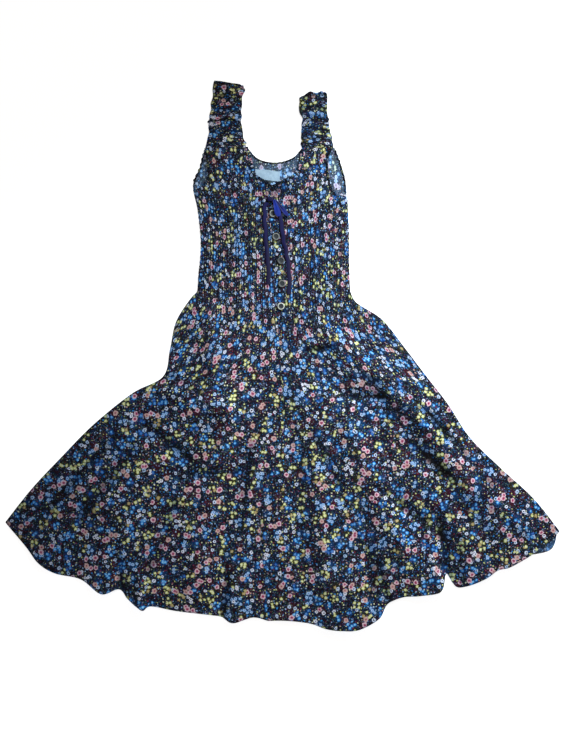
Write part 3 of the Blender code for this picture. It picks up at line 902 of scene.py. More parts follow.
@dataclass(frozen=True)
class Drape:
    """How the cloth lies all over the dress: its fullness, its gathers and its wrinkles."""

    centre_x: float = -0.010
    shirred_fullness: float = 1.50
    yoke_fullness: float = 1.28
    gather_pitch: float = 0.0076
    gather_rise: float = 0.0016
    radiate_from: float = 0.55
    bends: SoftNoise = field(default_factory=lambda: SoftNoise(11))
    sizes: SoftNoise = field(default_factory=lambda: SoftNoise(12))
    ripples: SoftNoise = field(default_factory=lambda: SoftNoise(13))

    def fullness(self, y: Array) -> Array:
        """Metres of cloth in each metre across the dress, at a height on it."""
        below_yoke = mix(1.0, self.shirred_fullness, ease(-0.09, 0.12, y))
        return mix(below_yoke, self.yoke_fullness, ease(0.23, 0.40, y))

    def cut(self, x: Array, y: Array, shift: tuple[float, float]) -> Array:
        """Where a point of the dress was on the flat cloth.

        Args:
            x: Its place across.
            y: Its place along.
            shift: Where this piece was cut from the cloth.

        Returns:
            Two numbers in metres for each point.
        """
        return np.column_stack(((x - self.centre_x) * self.fullness(y) + shift[0], y + shift[1]))

    def level(self, y: Array) -> Array:
        """Height of the front's upper face where it lies plain."""
        return mix(FRONT_TOP, SHIRR_TOP, ease(0.04, 0.14, y))

    def gathers(self, x: Array, y: Array) -> tuple[Array, Array]:
        """The shirring's upright ridges, which fan out and die away over the hips.

        Args:
            x: Place across the dress.
            y: Place along it.

        Returns:
            Height of the ridges, and how deep between them a point is, from 0 to 1, which the pieces draw as
            painted shade.
        """
        u = (x - self.centre_x) * self.fullness(y)
        wander = 0.45 * self.bends.at(u / 0.020, y / 0.050) + 1.1 * self.bends.at(u / 0.085 + 9, y / 0.12)
        ridge = pleats(u / self.gather_pitch + wander) ** 0.85
        strength = ease(-0.05, 0.12, y) * (1 - 0.8 * ease(0.29, 0.36, y))
        size = 0.80 + 0.42 * self.sizes.at(u / 0.013, y / 0.045)
        return self.gather_rise * strength * ridge * size, strength * size * (1 - ridge) ** 1.05

    def wrinkles(self, x: Array, y: Array) -> Array:
        """Soft unevenness that runs down and outwards from the waist."""
        turn = np.arctan2(x - self.centre_x, self.radiate_from - y)
        reach = np.hypot(x - self.centre_x, self.radiate_from - y)
        return (
            0.0018 * self.ripples.at(turn / 0.15 + 7, reach / 0.30 + 3)
            + 0.0012 * self.ripples.at(turn / 0.055, reach / 0.15)
            + 0.0004 * self.ripples.at(x / 0.017 + 11, y / 0.024 + 5)
        )


@dataclass(frozen=True)
class Crease:
    """A long fold between two points, steeper on one side."""

    name: str
    start: tuple[float, float]
    end: tuple[float, float]
    half_width: float
    rise: float
    lean: float = 0.0

    def height(self, x: Array, y: Array) -> Array:
        """How far the fold lifts points."""
        along_x, along_y = self.end[0] - self.start[0], self.end[1] - self.start[1]
        length = math.hypot(along_x, along_y)
        share = ((x - self.start[0]) * along_x + (y - self.start[1]) * along_y) / length**2
        side = ((x - self.start[0]) * along_y - (y - self.start[1]) * along_x) / length
        past = np.maximum(np.maximum(-share, share - 1), 0) * length
        width = self.half_width * (1 + self.lean * np.tanh(side / self.half_width))
        return self.rise * np.exp(-((side / width) ** 2) - (past / (1.6 * self.half_width)) ** 2)


def rolled(distance: Array, radius: float) -> Array:
    """The rise of a rounded edge: 0 at it, 1 from the radius on."""
    share = np.clip(distance / radius, 0, 1)
    return np.sqrt(np.clip(1 - (1 - share) ** 2, 0, 1))


# ---------------------------------------------------------------- skirt


@dataclass(frozen=True)
class Skirt:
    """Two front gores and the back, flared and laid flat with soft folds.

    sections holds, from the waist to the hem: name, left x, left y, right x, right y and how far
    the middle hangs below the ends. The hems hold name, x, y and the cloth's height there.
    """

    drape: Drape
    sections: Rows = (
        ("waist", -0.170, 0.125, 0.137, 0.125, 0.042),
        ("hip_top", -0.185, 0.109, 0.150, 0.103, 0.052),
        ("hip", -0.212, 0.065, 0.200, 0.070, 0.064),
        ("hip_low", -0.224, 0.010, 0.242, 0.018, 0.080),
        ("break", -0.238, -0.044, 0.286, -0.040, 0.096),
        ("thigh", -0.300, -0.078, 0.331, -0.098, 0.110),
        ("flare", -0.378, -0.141, 0.375, -0.165, 0.130),
        ("knee", -0.439, -0.203, 0.434, -0.224, 0.150),
        ("lower", -0.500, -0.268, 0.503, -0.288, 0.168),
        ("hem", -0.553, -0.335, 0.555, -0.353, 0.185),
    )
    front_hem: Rows = (
        ("left_corner", -0.553, -0.335, 0.001),
        ("left_edge", -0.512, -0.383, 0.003),
        ("left_dip", -0.486, -0.416, 0.008),
        ("wing_turn", -0.454, -0.437, 0.003),
        ("wing_flat", -0.402, -0.449, 0.002),
        ("knee_flute", -0.360, -0.477, 0.012),
        ("knee_valley", -0.326, -0.469, 0.002),
        ("step", -0.308, -0.488, 0.004),
        ("pinch_tip", -0.279, -0.509, 0.012),
        ("pinch_foot", -0.262, -0.503, 0.002),
        ("long_flat", -0.212, -0.512, 0.003),
        ("long_rise", -0.150, -0.519, 0.005),
        ("soft_valley", -0.122, -0.524, 0.002),
        ("soft_flute", -0.098, -0.535, 0.010),
        ("soft_foot", -0.058, -0.525, 0.002),
        ("seam", -0.028, -0.532, 0.003),
        ("middle", 0.008, -0.531, 0.006),
        ("middle_foot", 0.056, -0.537, 0.003),
        ("roll_left", 0.088, -0.547, 0.009),
        ("roll_crest", 0.120, -0.550, 0.013),
        ("roll_right", 0.154, -0.548, 0.010),
        ("roll_end", 0.194, -0.527, 0.004),
        ("shelf", 0.210, -0.499, 0.006),
        ("shelf_flat", 0.240, -0.485, 0.004),
        ("tuck_left", 0.276, -0.481, 0.010),
        ("tuck_fold", 0.316, -0.472, 0.012),
        ("tuck_notch", 0.329, -0.438, 0.002),
        ("tongue_left", 0.348, -0.464, 0.003),
        ("tongue_right", 0.376, -0.461, 0.004),
        ("tongue_end", 0.408, -0.446, 0.009),
        ("wing_valley", 0.432, -0.431, 0.002),
        ("wing_right", 0.458, -0.423, 0.006),
        ("wing_end", 0.512, -0.391, 0.004),
        ("right_corner", 0.555, -0.353, 0.001),
    )
    back_hem: Rows = (
        ("left_corner", -0.550, -0.334, 0.0),
        ("left_edge", -0.500, -0.394, 0.0),
        ("left_peek", -0.492, -0.407, 0.0),
        ("left_foot", -0.440, -0.430, 0.0),
        ("knee", -0.350, -0.462, 0.0),
        ("long_flat", -0.210, -0.503, 0.0),
        ("middle", -0.020, -0.522, 0.0),
        ("roll", 0.120, -0.532, 0.0),
        ("shelf", 0.206, -0.492, 0.0),
        ("tuck", 0.300, -0.466, 0.0),
        ("notch", 0.334, -0.434, 0.0),
        ("tongue", 0.380, -0.452, 0.0),
        ("wing", 0.470, -0.408, 0.0),
        ("right_peek", 0.538, -0.391, 0.0),
        ("right_corner", 0.552, -0.354, 0.0),
    )
    seam_row: int = 15
    seam_shares: tuple = (0.547, 0.530, 0.505, 0.482, 0.465, 0.453, 0.450, 0.455, 0.464, 0.474)
    bow: float = 2.5
    hem_fade: float = 7.0
    fold_fade: float = 2.2
    length: float = 0.42
    side_radius: float = 0.007
    hem_bead: float = 0.0005
    fold_strength: float = 1.35
    crease_strength: float = 1.8
    side_level: float = 0.0016
    back_gap: float = 0.0010
    seam_groove: float = 0.0009
    wing_painted_shade: float = 0.42
    folds: tuple[Crease, ...] = (
        Crease("left_hip", (-0.140, 0.085), (-0.128, -0.070), 0.030, 0.0045),
        Crease("left_break", (-0.226, -0.056), (-0.120, -0.105), 0.024, 0.0055, 0.4),
        Crease("left_wing", (-0.190, -0.120), (-0.330, -0.300), 0.030, 0.0060, -0.4),
        Crease("left_middle", (-0.100, -0.100), (-0.170, -0.420), 0.030, 0.0040, 0.3),
        Crease("right_hip", (0.110, 0.030), (0.236, -0.080), 0.025, 0.0055, 0.4),
        Crease("right_wing", (0.236, -0.080), (0.440, -0.330), 0.032, 0.0060, -0.4),
        Crease("right_middle", (0.130, -0.130), (0.230, -0.360), 0.030, 0.0055, 0.4),
        Crease("centre_right", (0.050, -0.100), (0.096, -0.440), 0.032, 0.0040, -0.3),
    )
    creases: tuple[Crease, ...] = (
        Crease("wing_trough", (0.264, -0.091), (0.330, -0.160), 0.010, -0.0022, 0.5),
        Crease("wing_ridge", (0.246, -0.098), (0.316, -0.172), 0.009, 0.0016, -0.4),
        Crease("wing_pocket", (0.262, -0.180), (0.322, -0.236), 0.012, -0.0026, 0.5),
        Crease("knee_trough", (0.192, -0.267), (0.318, -0.362), 0.010, -0.0020, -0.5),
        Crease("centre_trough", (0.066, -0.165), (0.114, -0.262), 0.008, -0.0016, 0.4),
        Crease("notch_trough", (0.333, -0.440), (0.312, -0.330), 0.009, -0.0030, 0.3),
        Crease("notch_ridge", (0.312, -0.462), (0.292, -0.352), 0.010, 0.0024, 0.4),
        Crease("tongue_trough", (0.360, -0.458), (0.352, -0.372), 0.008, -0.0014, 0.0),
        Crease("hip_pinch", (0.052, 0.010), (0.098, 0.014), 0.006, -0.0018, 0.5),
        Crease("hip_trough", (0.128, -0.083), (0.196, -0.086), 0.010, -0.0020, -0.5),
        Crease("hip_sweep", (0.172, -0.046), (0.252, -0.068), 0.009, -0.0020, 0.5),
        Crease("right_side", (0.300, -0.120), (0.420, -0.262), 0.008, -0.0014, 0.4),
        Crease("right_corner", (0.400, -0.290), (0.486, -0.366), 0.010, -0.0012, 0.0),
        Crease("roll_trough", (0.182, -0.470), (0.172, -0.390), 0.011, -0.0020, 0.4),
        Crease("roll_hollow", (0.214, -0.498), (0.196, -0.420), 0.009, -0.0022, -0.4),
        Crease("left_break_trough", (-0.232, -0.040), (-0.158, -0.078), 0.009, -0.0022, 0.5),
        Crease("left_pocket", (-0.262, -0.146), (-0.190, -0.204), 0.013, -0.0026, 0.5),
        Crease("left_sweep", (-0.188, -0.243), (-0.100, -0.236), 0.010, -0.0018, -0.5),
        Crease("left_wing_trough", (-0.300, -0.190), (-0.400, -0.330), 0.011, -0.0018, 0.4),
        Crease("left_edge_trough", (-0.340, -0.170), (-0.460, -0.300), 0.009, -0.0012, -0.4),
        Crease("step_trough", (-0.318, -0.476), (-0.330, -0.400), 0.008, -0.0026, 0.4),
        Crease("pinch_ridge", (-0.279, -0.507), (-0.286, -0.440), 0.007, 0.0020, 0.3),
        Crease("left_knee", (-0.214, -0.300), (-0.262, -0.430), 0.010, -0.0014, 0.4),
        Crease("left_long", (-0.060, -0.190), (-0.084, -0.350), 0.009, -0.0012, 0.4),
        Crease("soft_trough", (-0.118, -0.520), (-0.108, -0.440), 0.009, -0.0018, 0.0),
    )

    def line(self, section: Array, across: Array, bow: Array | float) -> tuple[Array, Array]:
        """x and y on sections, which hang lower towards their middle."""
        left_x, left_y, right_x, right_y, sag = np.atleast_2d(section).T
        y = mix(left_y, right_y, across) - sag * (1 - from_middle(across, bow))
        return mix(left_x, right_x, across), y

    def hem_share(self, x: Array | float) -> Array | float:
        """How far across the hem an x is, from 0 on the left to 1 on the right."""
        left_x, right_x = self.sections[-1][1], self.sections[-1][3]
        return (x - left_x) / (right_x - left_x)

    def spot(self, across: Array, down: Array, hem: Array, inset: float = 0.0) -> tuple[Array, Array, Array]:
        """x, y and lift of the skirt at shares of its width and its length.

        Args:
            across: Share of the width.
            down: Share of the way from the waist to the hem.
            hem: x, y and lift where each point's column meets the hem.
            inset: How far the sides stay inside the outline.
        """
        rows = along(values(self.sections), down) + np.array((inset, 0, -inset, 0, 0))
        x, y = self.line(rows, across, mix(2, self.bow, down))
        _, plain_y = self.line(values(self.sections)[-1], self.hem_share(hem[:, 0]), self.bow)
        return x, y + (hem[:, 1] - plain_y) * down**self.hem_fade, hem[:, 2] * down**self.fold_fade

    def relief(self, x: Array, y: Array) -> Array:
        """Height of the folds and the wrinkles over the plain cloth."""
        folds = sum(fold.height(x, y) for fold in self.folds)
        return self.fold_strength * folds + self.drape.wrinkles(x, y)

    def painted_slope_shade(self, x: Array, y: Array) -> Array:
        """Painted shade where the cloth's soft swells turn from the key lamp, above 0, and a painted
        highlight where they turn towards it, below 0.
        """
        swell = self.relief(x + 0.009, y + 0.012) - self.relief(x, y)
        pinch = sum(c.height(x + 0.006, y + 0.008) - c.height(x, y) for c in self.creases)
        return np.clip(120 * swell + 220 * pinch, -0.35, 0.85)

    def waist_y(self, x: Array) -> Array:
        """Where the waist is at an x."""
        section = values(self.sections)[0]
        share = (x - section[0]) / (section[2] - section[0])
        return self.line(section, share, 2)[1]

    def gore(self, name: str, side: int, finishes: Finishes) -> Object:
        """One front gore.

        Args:
            name: The CAD node that it stands for.
            side: -1 left of the seam, 1 right of it.
            finishes: The dress's materials.

        Returns:
            The piece.
        """
        hem = values(self.front_hem)
        hem = hem[: self.seam_row + 1] if side < 0 else hem[self.seam_row :]
        seam_at_hem = self.hem_share(self.front_hem[self.seam_row][1])
        shift = FRONT_SHIFTS[side]

        def spread(column: Array, row: Array) -> tuple[Array, ...]:
            hem_rows = along(hem, column)
            down = 1 - row
            seam = along(np.array(self.seam_shares)[:, None], down)[:, 0]
            share = self.hem_share(hem_rows[:, 0])
            if side < 0:
                across = seam * share / seam_at_hem
            else:
                across = 1 - (1 - seam) * (1 - share) / (1 - seam_at_hem)
            x, y, lift = self.spot(across, down, hem_rows)
            width = along(values(self.sections), down)
            width = width[:, 2] - width[:, 0]
            outer = (across if side < 0 else 1 - across) * width
            inner = np.abs(across - seam) * width
            return x, y, lift, down, outer, inner

        def place(column: Array, row: Array) -> Array:
            x, y, lift, down, outer, inner = spread(column, row)
            ridges, _ = self.drape.gathers(x, y)
            loose = ease(0, 0.035, outer) * ease(0, 0.22, down)
            crease = self.crease_strength * sum(c.height(x, y) for c in self.creases)
            crease = crease * ease(0, 0.012, outer)
            groove = -self.seam_groove * bell(inner, 0.0026) * ease(0.02, 0.12, down)
            bead = self.hem_bead * np.exp(-(((1 - down) * self.length - 0.003) / 0.0022) ** 2)
            height = lift + self.relief(x, y) * loose + crease + ridges + groove + bead
            top = np.maximum(self.drape.level(y) + height, BACK_TOP + self.back_gap)
            top = mix(self.side_level, top, rolled(outer, self.side_radius))
            return np.column_stack((x, y, top))

        def cut(column: Array, row: Array) -> Array:
            x, y, *_ = spread(column, row)
            return self.drape.cut(x, y, shift)

        def shade(column: Array, row: Array) -> Array:
            x, y, _, down, outer, inner = spread(column, row)
            # Painted shade: darker in the gathers, the creases' troughs, the seam's groove and along the
            # sides and hem; the swells take painted shade or highlight from where the key lamp stands, and
            # the left wing is darkened as falling away from it.
            _, depth = self.drape.gathers(x, y)
            trough = sum(np.maximum(-c.height(x, y), 0) / abs(c.rise) for c in self.creases if c.rise < 0)
            seam = bell(inner, 0.0020) * ease(0.10, 0.5, down)
            rim = bell(outer, 0.0022) + bell((1 - down) * self.length, 0.0022)
            away = self.painted_slope_shade(x, y) * ease(0.0, 0.03, outer)
            away = away + self.wing_painted_shade * ease(-0.20, -0.48, x)
            return np.clip(0.9 * depth + 0.8 * trough + away + 0.8 * seam + 0.8 * rim, -0.35, 1.6)

        panel = Panel(f"cloth_{name}", 168, 176, place, cut, shade=shade)
        return declare(panel.build(finishes.printed, finishes.wrong_side), name)

    def back(self, finishes: Finishes) -> Object:
        """The back, whose wrong side faces up."""
        hem = values(self.back_hem)

        def spread(column: Array, row: Array) -> tuple[Array, ...]:
            hem_rows = along(hem, column)
            return self.spot(self.hem_share(hem_rows[:, 0]), 1 - row, hem_rows, inset=0.002)

        def place(column: Array, row: Array) -> Array:
            x, y, _ = spread(column, row)
            z = BACK_TOP - 0.0002 + 0.15 * self.drape.wrinkles(x, y)
            return np.column_stack((x, y, np.clip(z, 0.0008, 0.0014)))

        def cut(column: Array, row: Array) -> Array:
            x, y, _ = spread(column, row)
            return self.drape.cut(-x, y, BACK_SHIFT)

        def shade(column: Array, row: Array) -> Array:
            # Painted shade: the back is darker towards its hem, where it lies under the front's edge.
            return 1.25 * ease(0.25, 0.0, row)

        panel = Panel("cloth_back_skirt", 110, 90, place, cut, shade=shade)
        return declare(panel.build(finishes.wrong_side, finishes.printed), "back_skirt")

    def build(self, finishes: Finishes) -> None:
        left = self.gore("front_skirt_left", -1, finishes)
        right = self.gore("front_skirt_right", 1, finishes)
        back = self.back(finishes)
        LOG.info("skirt: %s, %s, %s", left.name, right.name, back.name)


# ---------------------------------------------------------------- bodice


LEFT_FRONT: Rows = (
    ("waist", -0.170, 0.125, -0.002, 0.0834, 0.0126),
    ("ribs_low", -0.167, 0.160, 0.000, 0.132, 0.006),
    ("ribs", -0.163, 0.200, -0.002, 0.187, 0.003),
    ("chest", -0.163, 0.237, -0.012, 0.235, 0.0),
    ("bust", -0.168, 0.285, -0.018, 0.281, 0.0),
    ("underarm", -0.171, 0.326, -0.021, 0.318, 0.0),
    ("neck_middle", -0.157, 0.336, -0.020, 0.338, 0.0),
    ("neck_low", -0.147, 0.352, -0.040, 0.348, 0.0),
    ("neck_side", -0.147, 0.370, -0.055, 0.360, 0.0),
    ("neck_high", -0.150, 0.391, -0.063, 0.388, 0.0),
    ("strap_base", -0.154, 0.413, -0.072, 0.416, 0.0),
)
RIGHT_FRONT: Rows = (
    ("waist", 0.137, 0.125, -0.002, 0.0834, 0.0086),
    ("ribs_low", 0.135, 0.160, 0.000, 0.132, 0.006),
    ("ribs", 0.134, 0.200, -0.002, 0.187, 0.003),
    ("chest", 0.134, 0.237, -0.012, 0.235, 0.0),
    ("bust", 0.132, 0.285, -0.018, 0.281, 0.0),
    ("underarm", 0.129, 0.314, -0.021, 0.318, 0.0),
    ("neck_middle", 0.110, 0.318, -0.020, 0.338, 0.0),
    ("neck_low", 0.098, 0.332, 0.002, 0.345, 0.0),
    ("neck_side", 0.092, 0.356, 0.024, 0.357, 0.0),
    ("neck_high", 0.090, 0.388, 0.038, 0.384, 0.0),
    ("strap_base", 0.099, 0.413, 0.040, 0.412, 0.0),
)
NECK_ROW = 6  # the front section where the neckline starts
BACK_LEFT_SIDE: Rows = (
    ("waist", -0.168, 0.125),
    ("ribs", -0.161, 0.200),
    ("chest", -0.162, 0.240),
    ("bust", -0.169, 0.290),
    ("underarm", -0.177, 0.326),
    ("armhole_low", -0.176, 0.348),
    ("armhole", -0.165, 0.372),
    ("armhole_high", -0.159, 0.396),
    ("strap_base", -0.153, 0.413),
)
BACK_RIGHT_SIDE: Rows = (
    ("waist", 0.135, 0.125),
    ("ribs", 0.132, 0.200),
    ("chest", 0.132, 0.240),
    ("bust", 0.131, 0.290),
    ("underarm", 0.129, 0.322),
    ("armhole_low", 0.126, 0.350),
    ("armhole", 0.120, 0.372),
    ("armhole_high", 0.112, 0.396),
    ("strap_base", 0.105, 0.413),
)
BACK_NECK: Rows = (
    ("left_strap", -0.072, 0.416),
    ("left_curve", -0.048, 0.391),
    ("bottom", -0.012, 0.3835),
    ("right_curve", 0.022, 0.393),
    ("right_strap", 0.040, 0.412),
)


@dataclass(frozen=True)
class Bodice:
    """The shirred front in two halves and the back behind it."""

    drape: Drape
    skirt: Skirt
    side_radius: float = 0.005
    neck_lift: float = 0.0012
    neck_lift_start: float = 0.52
    neck_gathers: int = 34
    strap_share: float = 0.25
    neck_shadow: tuple[float, float, float, float] = (-0.008, 0.331, 0.026, 0.013)

    def front_spot(self, sections: Rows, across: Array, up: Array) -> tuple[Array, Array]:
        """x and y of a front half. across runs from the outer edge to the centre front."""
        rows = values(sections)
        split = NECK_ROW / (len(rows) - 1)
        low = along(rows[: NECK_ROW + 1], np.minimum(up / split, 1))
        high = along(rows[NECK_ROW:], np.maximum((up - split) / (1 - split), 0))
        section = np.where((up <= split)[:, None], low, high)
        outer_x, outer_y, inner_x, inner_y, dip = section.T
        x = mix(outer_x, inner_x, across)
        y = mix(outer_y, inner_y, across) - 4 * dip * across * (1 - across)
        near_waist = np.clip(1 - up / 0.1, 0, 1)
        return x, y + (self.skirt.waist_y(x) - y) * near_waist * (up < 0.1)

    def neck_gather(self, across: Array, up: Array, inner: Array) -> tuple[Array, Array]:
        """Small gathers that run out from the neckline: their height, and how deep a point is, drawn as
        painted shade.
        """
        split = NECK_ROW / (len(LEFT_FRONT) - 1)
        near = np.exp(-inner / 0.016) * ease(split - 0.06, split + 0.04, up) * ease(1.0, 0.92, up)
        bend = self.drape.bends.at(across * 9 + 3, up * 21)
        ridge = pleats(self.neck_gathers * up + 0.6 * bend)
        return 0.0012 * near * ridge, near * (1 - ridge) ** 1.2

    def front(self, name: str, sections: Rows, side: int, finishes: Finishes) -> Object:
        """One front half.

        Args:
            name: The CAD node that it stands for.
            sections: Its sections, from the waist to the strap.
            side: -1 for the left half, 1 for the right.
            finishes: The dress's materials.

        Returns:
            The piece.
        """
        shift = FRONT_SHIFTS[side]
        split = NECK_ROW / (len(sections) - 1)

        def spread(column: Array, row: Array) -> tuple[Array, ...]:
            x, y = self.front_spot(sections, column, row)
            left, _ = self.front_spot(sections, np.zeros_like(column), row)
            right, _ = self.front_spot(sections, np.ones_like(column), row)
            width = np.abs(right - left)
            return x, y, column * width, (1 - column) * width

        def place(column: Array, row: Array) -> Array:
            x, y, outer, inner = spread(column, row)
            ridges, _ = self.drape.gathers(x, y)
            neck, _ = self.neck_gather(column, row, inner)
            rise = np.clip((row - self.neck_lift_start) / (split - self.neck_lift_start), 0, 1)
            fall = np.sqrt(np.clip((1 - row) / (1 - split), 0, 1))
            puff = 0.0007 * self.drape.ripples.at(x / 0.030 + 5, y / 0.036 + 9) * ease(0.0, 0.08, row)
            top = self.drape.level(y) + ridges + neck + self.neck_lift * rise * fall * column**2 + puff
            top = mix(BACK_TOP + 0.0008, top, rolled(outer + 0.0006, self.side_radius))
            scallop = 0.0005 * np.sin(TAU * (y / 0.0105 + self.drape.bends.at(y / 0.02, side * 3.0)))
            x = x - side * scallop * np.exp(-outer / 0.004) * ease(0.02, 0.10, row) * ease(0.62, 0.5, row)
            return np.column_stack((x, y, top))

        def cut(column: Array, row: Array) -> Array:
            x, y, *_ = spread(column, row)
            return self.drape.cut(x, y, shift)

        def shade(column: Array, row: Array) -> Array:
            x, y, outer, inner = spread(column, row)
            _, depth = self.drape.gathers(x, y)
            _, neck = self.neck_gather(column, row, inner)
            # Painted shade: darker between the gathers and the neckline's gathers, along the outer edge, and
            # a painted shadow under the neckline.
            edge = bell(outer, 0.0025)
            at_x, at_y, wide, high = self.neck_shadow
            under_neck = bell(x - at_x, wide) * bell(y - at_y, high)
            return np.clip(1.15 * depth + neck + 0.1 * edge + under_neck, 0, 1.4)

        panel = Panel(f"cloth_{name}", 250, 150, place, cut, shade=shade)
        return declare(panel.build(finishes.printed, finishes.wrong_side), name)

    def back_spot(self, across: Array, up: Array) -> tuple[Array, Array]:
        """x and y of the back, between its sides, its waist and its neckline."""
        left, right, neck = values(BACK_LEFT_SIDE), values(BACK_RIGHT_SIDE), values(BACK_NECK)
        share = self.strap_share
        low = mix(left[-1], neck[0], np.clip(across / share, 0, 1)[:, None])
        high = mix(neck[-1], right[-1], np.clip((across - 1 + share) / share, 0, 1)[:, None])
        middle = along(neck, (across - share) / (1 - 2 * share))
        top = np.where((across >= 1 - share)[:, None], high, middle)
        top = np.where((across <= share)[:, None], low, top)
        waist_x = mix(left[0][0], right[0][0], across)
        sag = self.skirt.sections[0][5]
        bottom = np.column_stack((waist_x, left[0][1] - sag * (1 - (2 * across - 1) ** 2)))
        a, b = across[:, None], up[:, None]
        sides = mix(along(left, up), along(right, up), a)
        corners = mix(mix(left[0], right[0], a), mix(left[-1], right[-1], a), b)
        x, y = (sides + mix(bottom, top, b) - corners).T
        return x, y

    def back(self, finishes: Finishes) -> Object:
        """The back, whose wrong side shows in the neckline and the armholes."""

        def ridges(x: Array, y: Array) -> tuple[Array, Array]:
            height, depth = self.drape.gathers(x, y)
            soft = pleats(x / 0.0075 + 0.8 * self.drape.bends.at(x / 0.02, y / 0.04 + 5))
            near_neck = ease(0.30, 0.34, y)
            # Painted shade between the pleats, deeper near the neckline.
            dark = depth * 0.6 + 0.6 * (1 - soft) ** 1.5 * near_neck
            return 0.25 * height + 0.0004 * soft * near_neck, dark

        def place(column: Array, row: Array) -> Array:
            x, y = self.back_spot(column, row)
            height, _ = ridges(x, y)
            return np.column_stack((x, y, BACK_TOP - 0.0003 + height))

        def cut(column: Array, row: Array) -> Array:
            x, y = self.back_spot(column, row)
            return np.column_stack((BACK_SHIFT[0] - 1.3 * x, y + BACK_SHIFT[1]))

        def shade(column: Array, row: Array) -> Array:
            return ridges(*self.back_spot(column, row))[1]

        panel = Panel("cloth_back_bodice", 150, 110, place, cut, shade=shade)
        return declare(panel.build(finishes.wrong_side, finishes.printed), "back_bodice")

    def build(self, finishes: Finishes, trims: "Trims") -> None:
        left = self.front("front_bodice_left", LEFT_FRONT, -1, finishes)
        right = self.front("front_bodice_right", RIGHT_FRONT, 1, finishes)
        back = self.back(finishes)
        front_trims, back_trims, placket = trims.build(finishes)
        halves = ((left, (0.27, 0.32), 0.062), (right, (0.25, 0.32), 0.054))
        for (half, flat, area), carried in zip(halves, front_trims):
            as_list(carried)
        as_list(back_trims)
        LOG.info("bodice: %s, %s, %s and %s", left.name, right.name, back.name, placket.name)


# ---------------------------------------------------------------- bands and edges


Route = Callable[[Array], Array]


@dataclass(frozen=True)
class Band:
    """A narrow strip of cloth or ribbon along a route.

    Args:
        name: The piece's name.
        route: x and y at shares of its length.
        level: Height of its middle, at shares of its length.
        width: From edge to edge.
        columns: Faces across.
        rows: Faces along.
        crown: How much higher its middle is than its edges.
        gathers: How many small gathers cross it.
        gather_rise: How high they stand.
        frill: How far its outline waves to the sides.
        frills: How many such waves it has.
        spread: How much further out the outer edge waves than the inner one.
        shift: Where it was cut from the cloth.
        fullness: Metres of cloth in each metre of its length.
        wall: Thickness.
        seed: Which uneven waves it has.
    """

    name: str
    route: Route
    level: Callable[[Array], Array]
    width: float
    columns: int = 8
    rows: int = 160
    crown: float = 0.0005
    gathers: float = 0.0
    gather_rise: float = 0.0
    frill: float = 0.0
    frills: float = 0.0
    spread: float = 0.0
    shift: tuple[float, float] = (5.0, 5.0)
    fullness: float = 1.0
    wall: float = 0.0006
    seed: int = 31

    def lengths(self, share: Array) -> Array:
        """Distance along the route."""
        steps = np.linspace(0, 1, 200)
        points = self.route(steps)[:, :2]
        run = np.concatenate(([0], np.cumsum(np.linalg.norm(np.diff(points, axis=0), axis=1))))
        return np.interp(share, steps, run)

    def wave(self, up: Array) -> Array:
        """The frill's swing, uneven from one wave to the next."""
        noise = SoftNoise(self.seed)
        turn = self.frills * up + 0.35 * noise.at(up * self.frills / 2, 2.0)
        return self.frill * (0.7 + 0.5 * noise.at(up * self.frills, 9.0)) * np.sin(TAU * turn)

    def ridge(self, across: Array, up: Array) -> Array:
        """The gathers' profile, from 0 in a valley to 1 on a ridge."""
        if not self.gathers:
            return np.ones_like(up)
        bend = SoftNoise(self.seed + 1).at(up * self.gathers / 2.2, across * 2)
        return pleats(self.gathers * up + 0.5 * bend)

    def place(self, across: Array, up: Array) -> Array:
        """Where a point of the band lies."""
        before, after = self.route(np.clip(up - 0.01, 0, 1)), self.route(np.clip(up + 0.01, 0, 1))
        lead = (after - before)[:, :2]
        lead = lead / np.linalg.norm(lead, axis=1)[:, None]
        middle = self.route(up)[:, :2]
        swing = self.wave(up) * (1 + self.spread * (across - 0.5))
        away = (across - 0.5) * self.width + swing
        x = middle[:, 0] - away * lead[:, 1]
        y = middle[:, 1] + away * lead[:, 0]
        rise = self.crown * (1 - (2 * across - 1) ** 2) + self.gather_rise * self.ridge(across, up)
        return np.column_stack((x, y, self.level(up) + rise))

    def cut(self, across: Array, up: Array) -> Array:
        """Where a point was on the flat cloth."""
        run = self.lengths(up) * self.fullness
        return np.column_stack(((across - 0.5) * self.width + self.shift[0], run + self.shift[1]))

    def shade(self, across: Array, up: Array) -> Array:
        """Painted shade: darker between the gathers, or towards the edges where there are none."""
        if not self.gathers:
            return 0.5 * from_middle(across, 6)
        return (1 - self.ridge(across, up)) ** 1.2

    def build(
        self, finish: Material, node: str, slot: str, lean: Callable[[Array], Array] | None = None,
    ) -> Object:
        """Makes the band.

        Args:
            finish: Its material.
            node: The CAD node that it stands for.
            slot: Not used.
            lean: Painted shade added at shares of its length, towards the finish's deeper tone.

        Returns:
            The piece.
        """
        panel = Panel(
            self.name, self.columns, self.rows, self.place, self.cut, self.wall,
            lambda across, up: self.shade(across, up) + (lean(up) if lean else 0.0),
        )
        return declare(panel.build(finish), node)


def edge_route(sections: Rows, first: int, last: int, inner: bool, start: float, end: float,
               shift: tuple[float, float] = (0.0, 0.0)) -> Route:
    """Part of the outer or inner edge of a table's sections.

    Args:
        sections: Rows of name, outer x, outer y and, for a front, inner x and inner y.
        first: The row where the edge starts.
        last: The row where it ends.
        inner: Whether the inner edge is meant.
        start: Share of the edge where the route starts.
        end: Share where it ends.
        shift: How far the route is moved.
    """
    rows = values(sections)[first : last + 1, 2:4] if inner else values(sections)[first : last + 1, 0:2]
    return lambda share: along(rows, mix(start, end, share)) + np.array(shift)


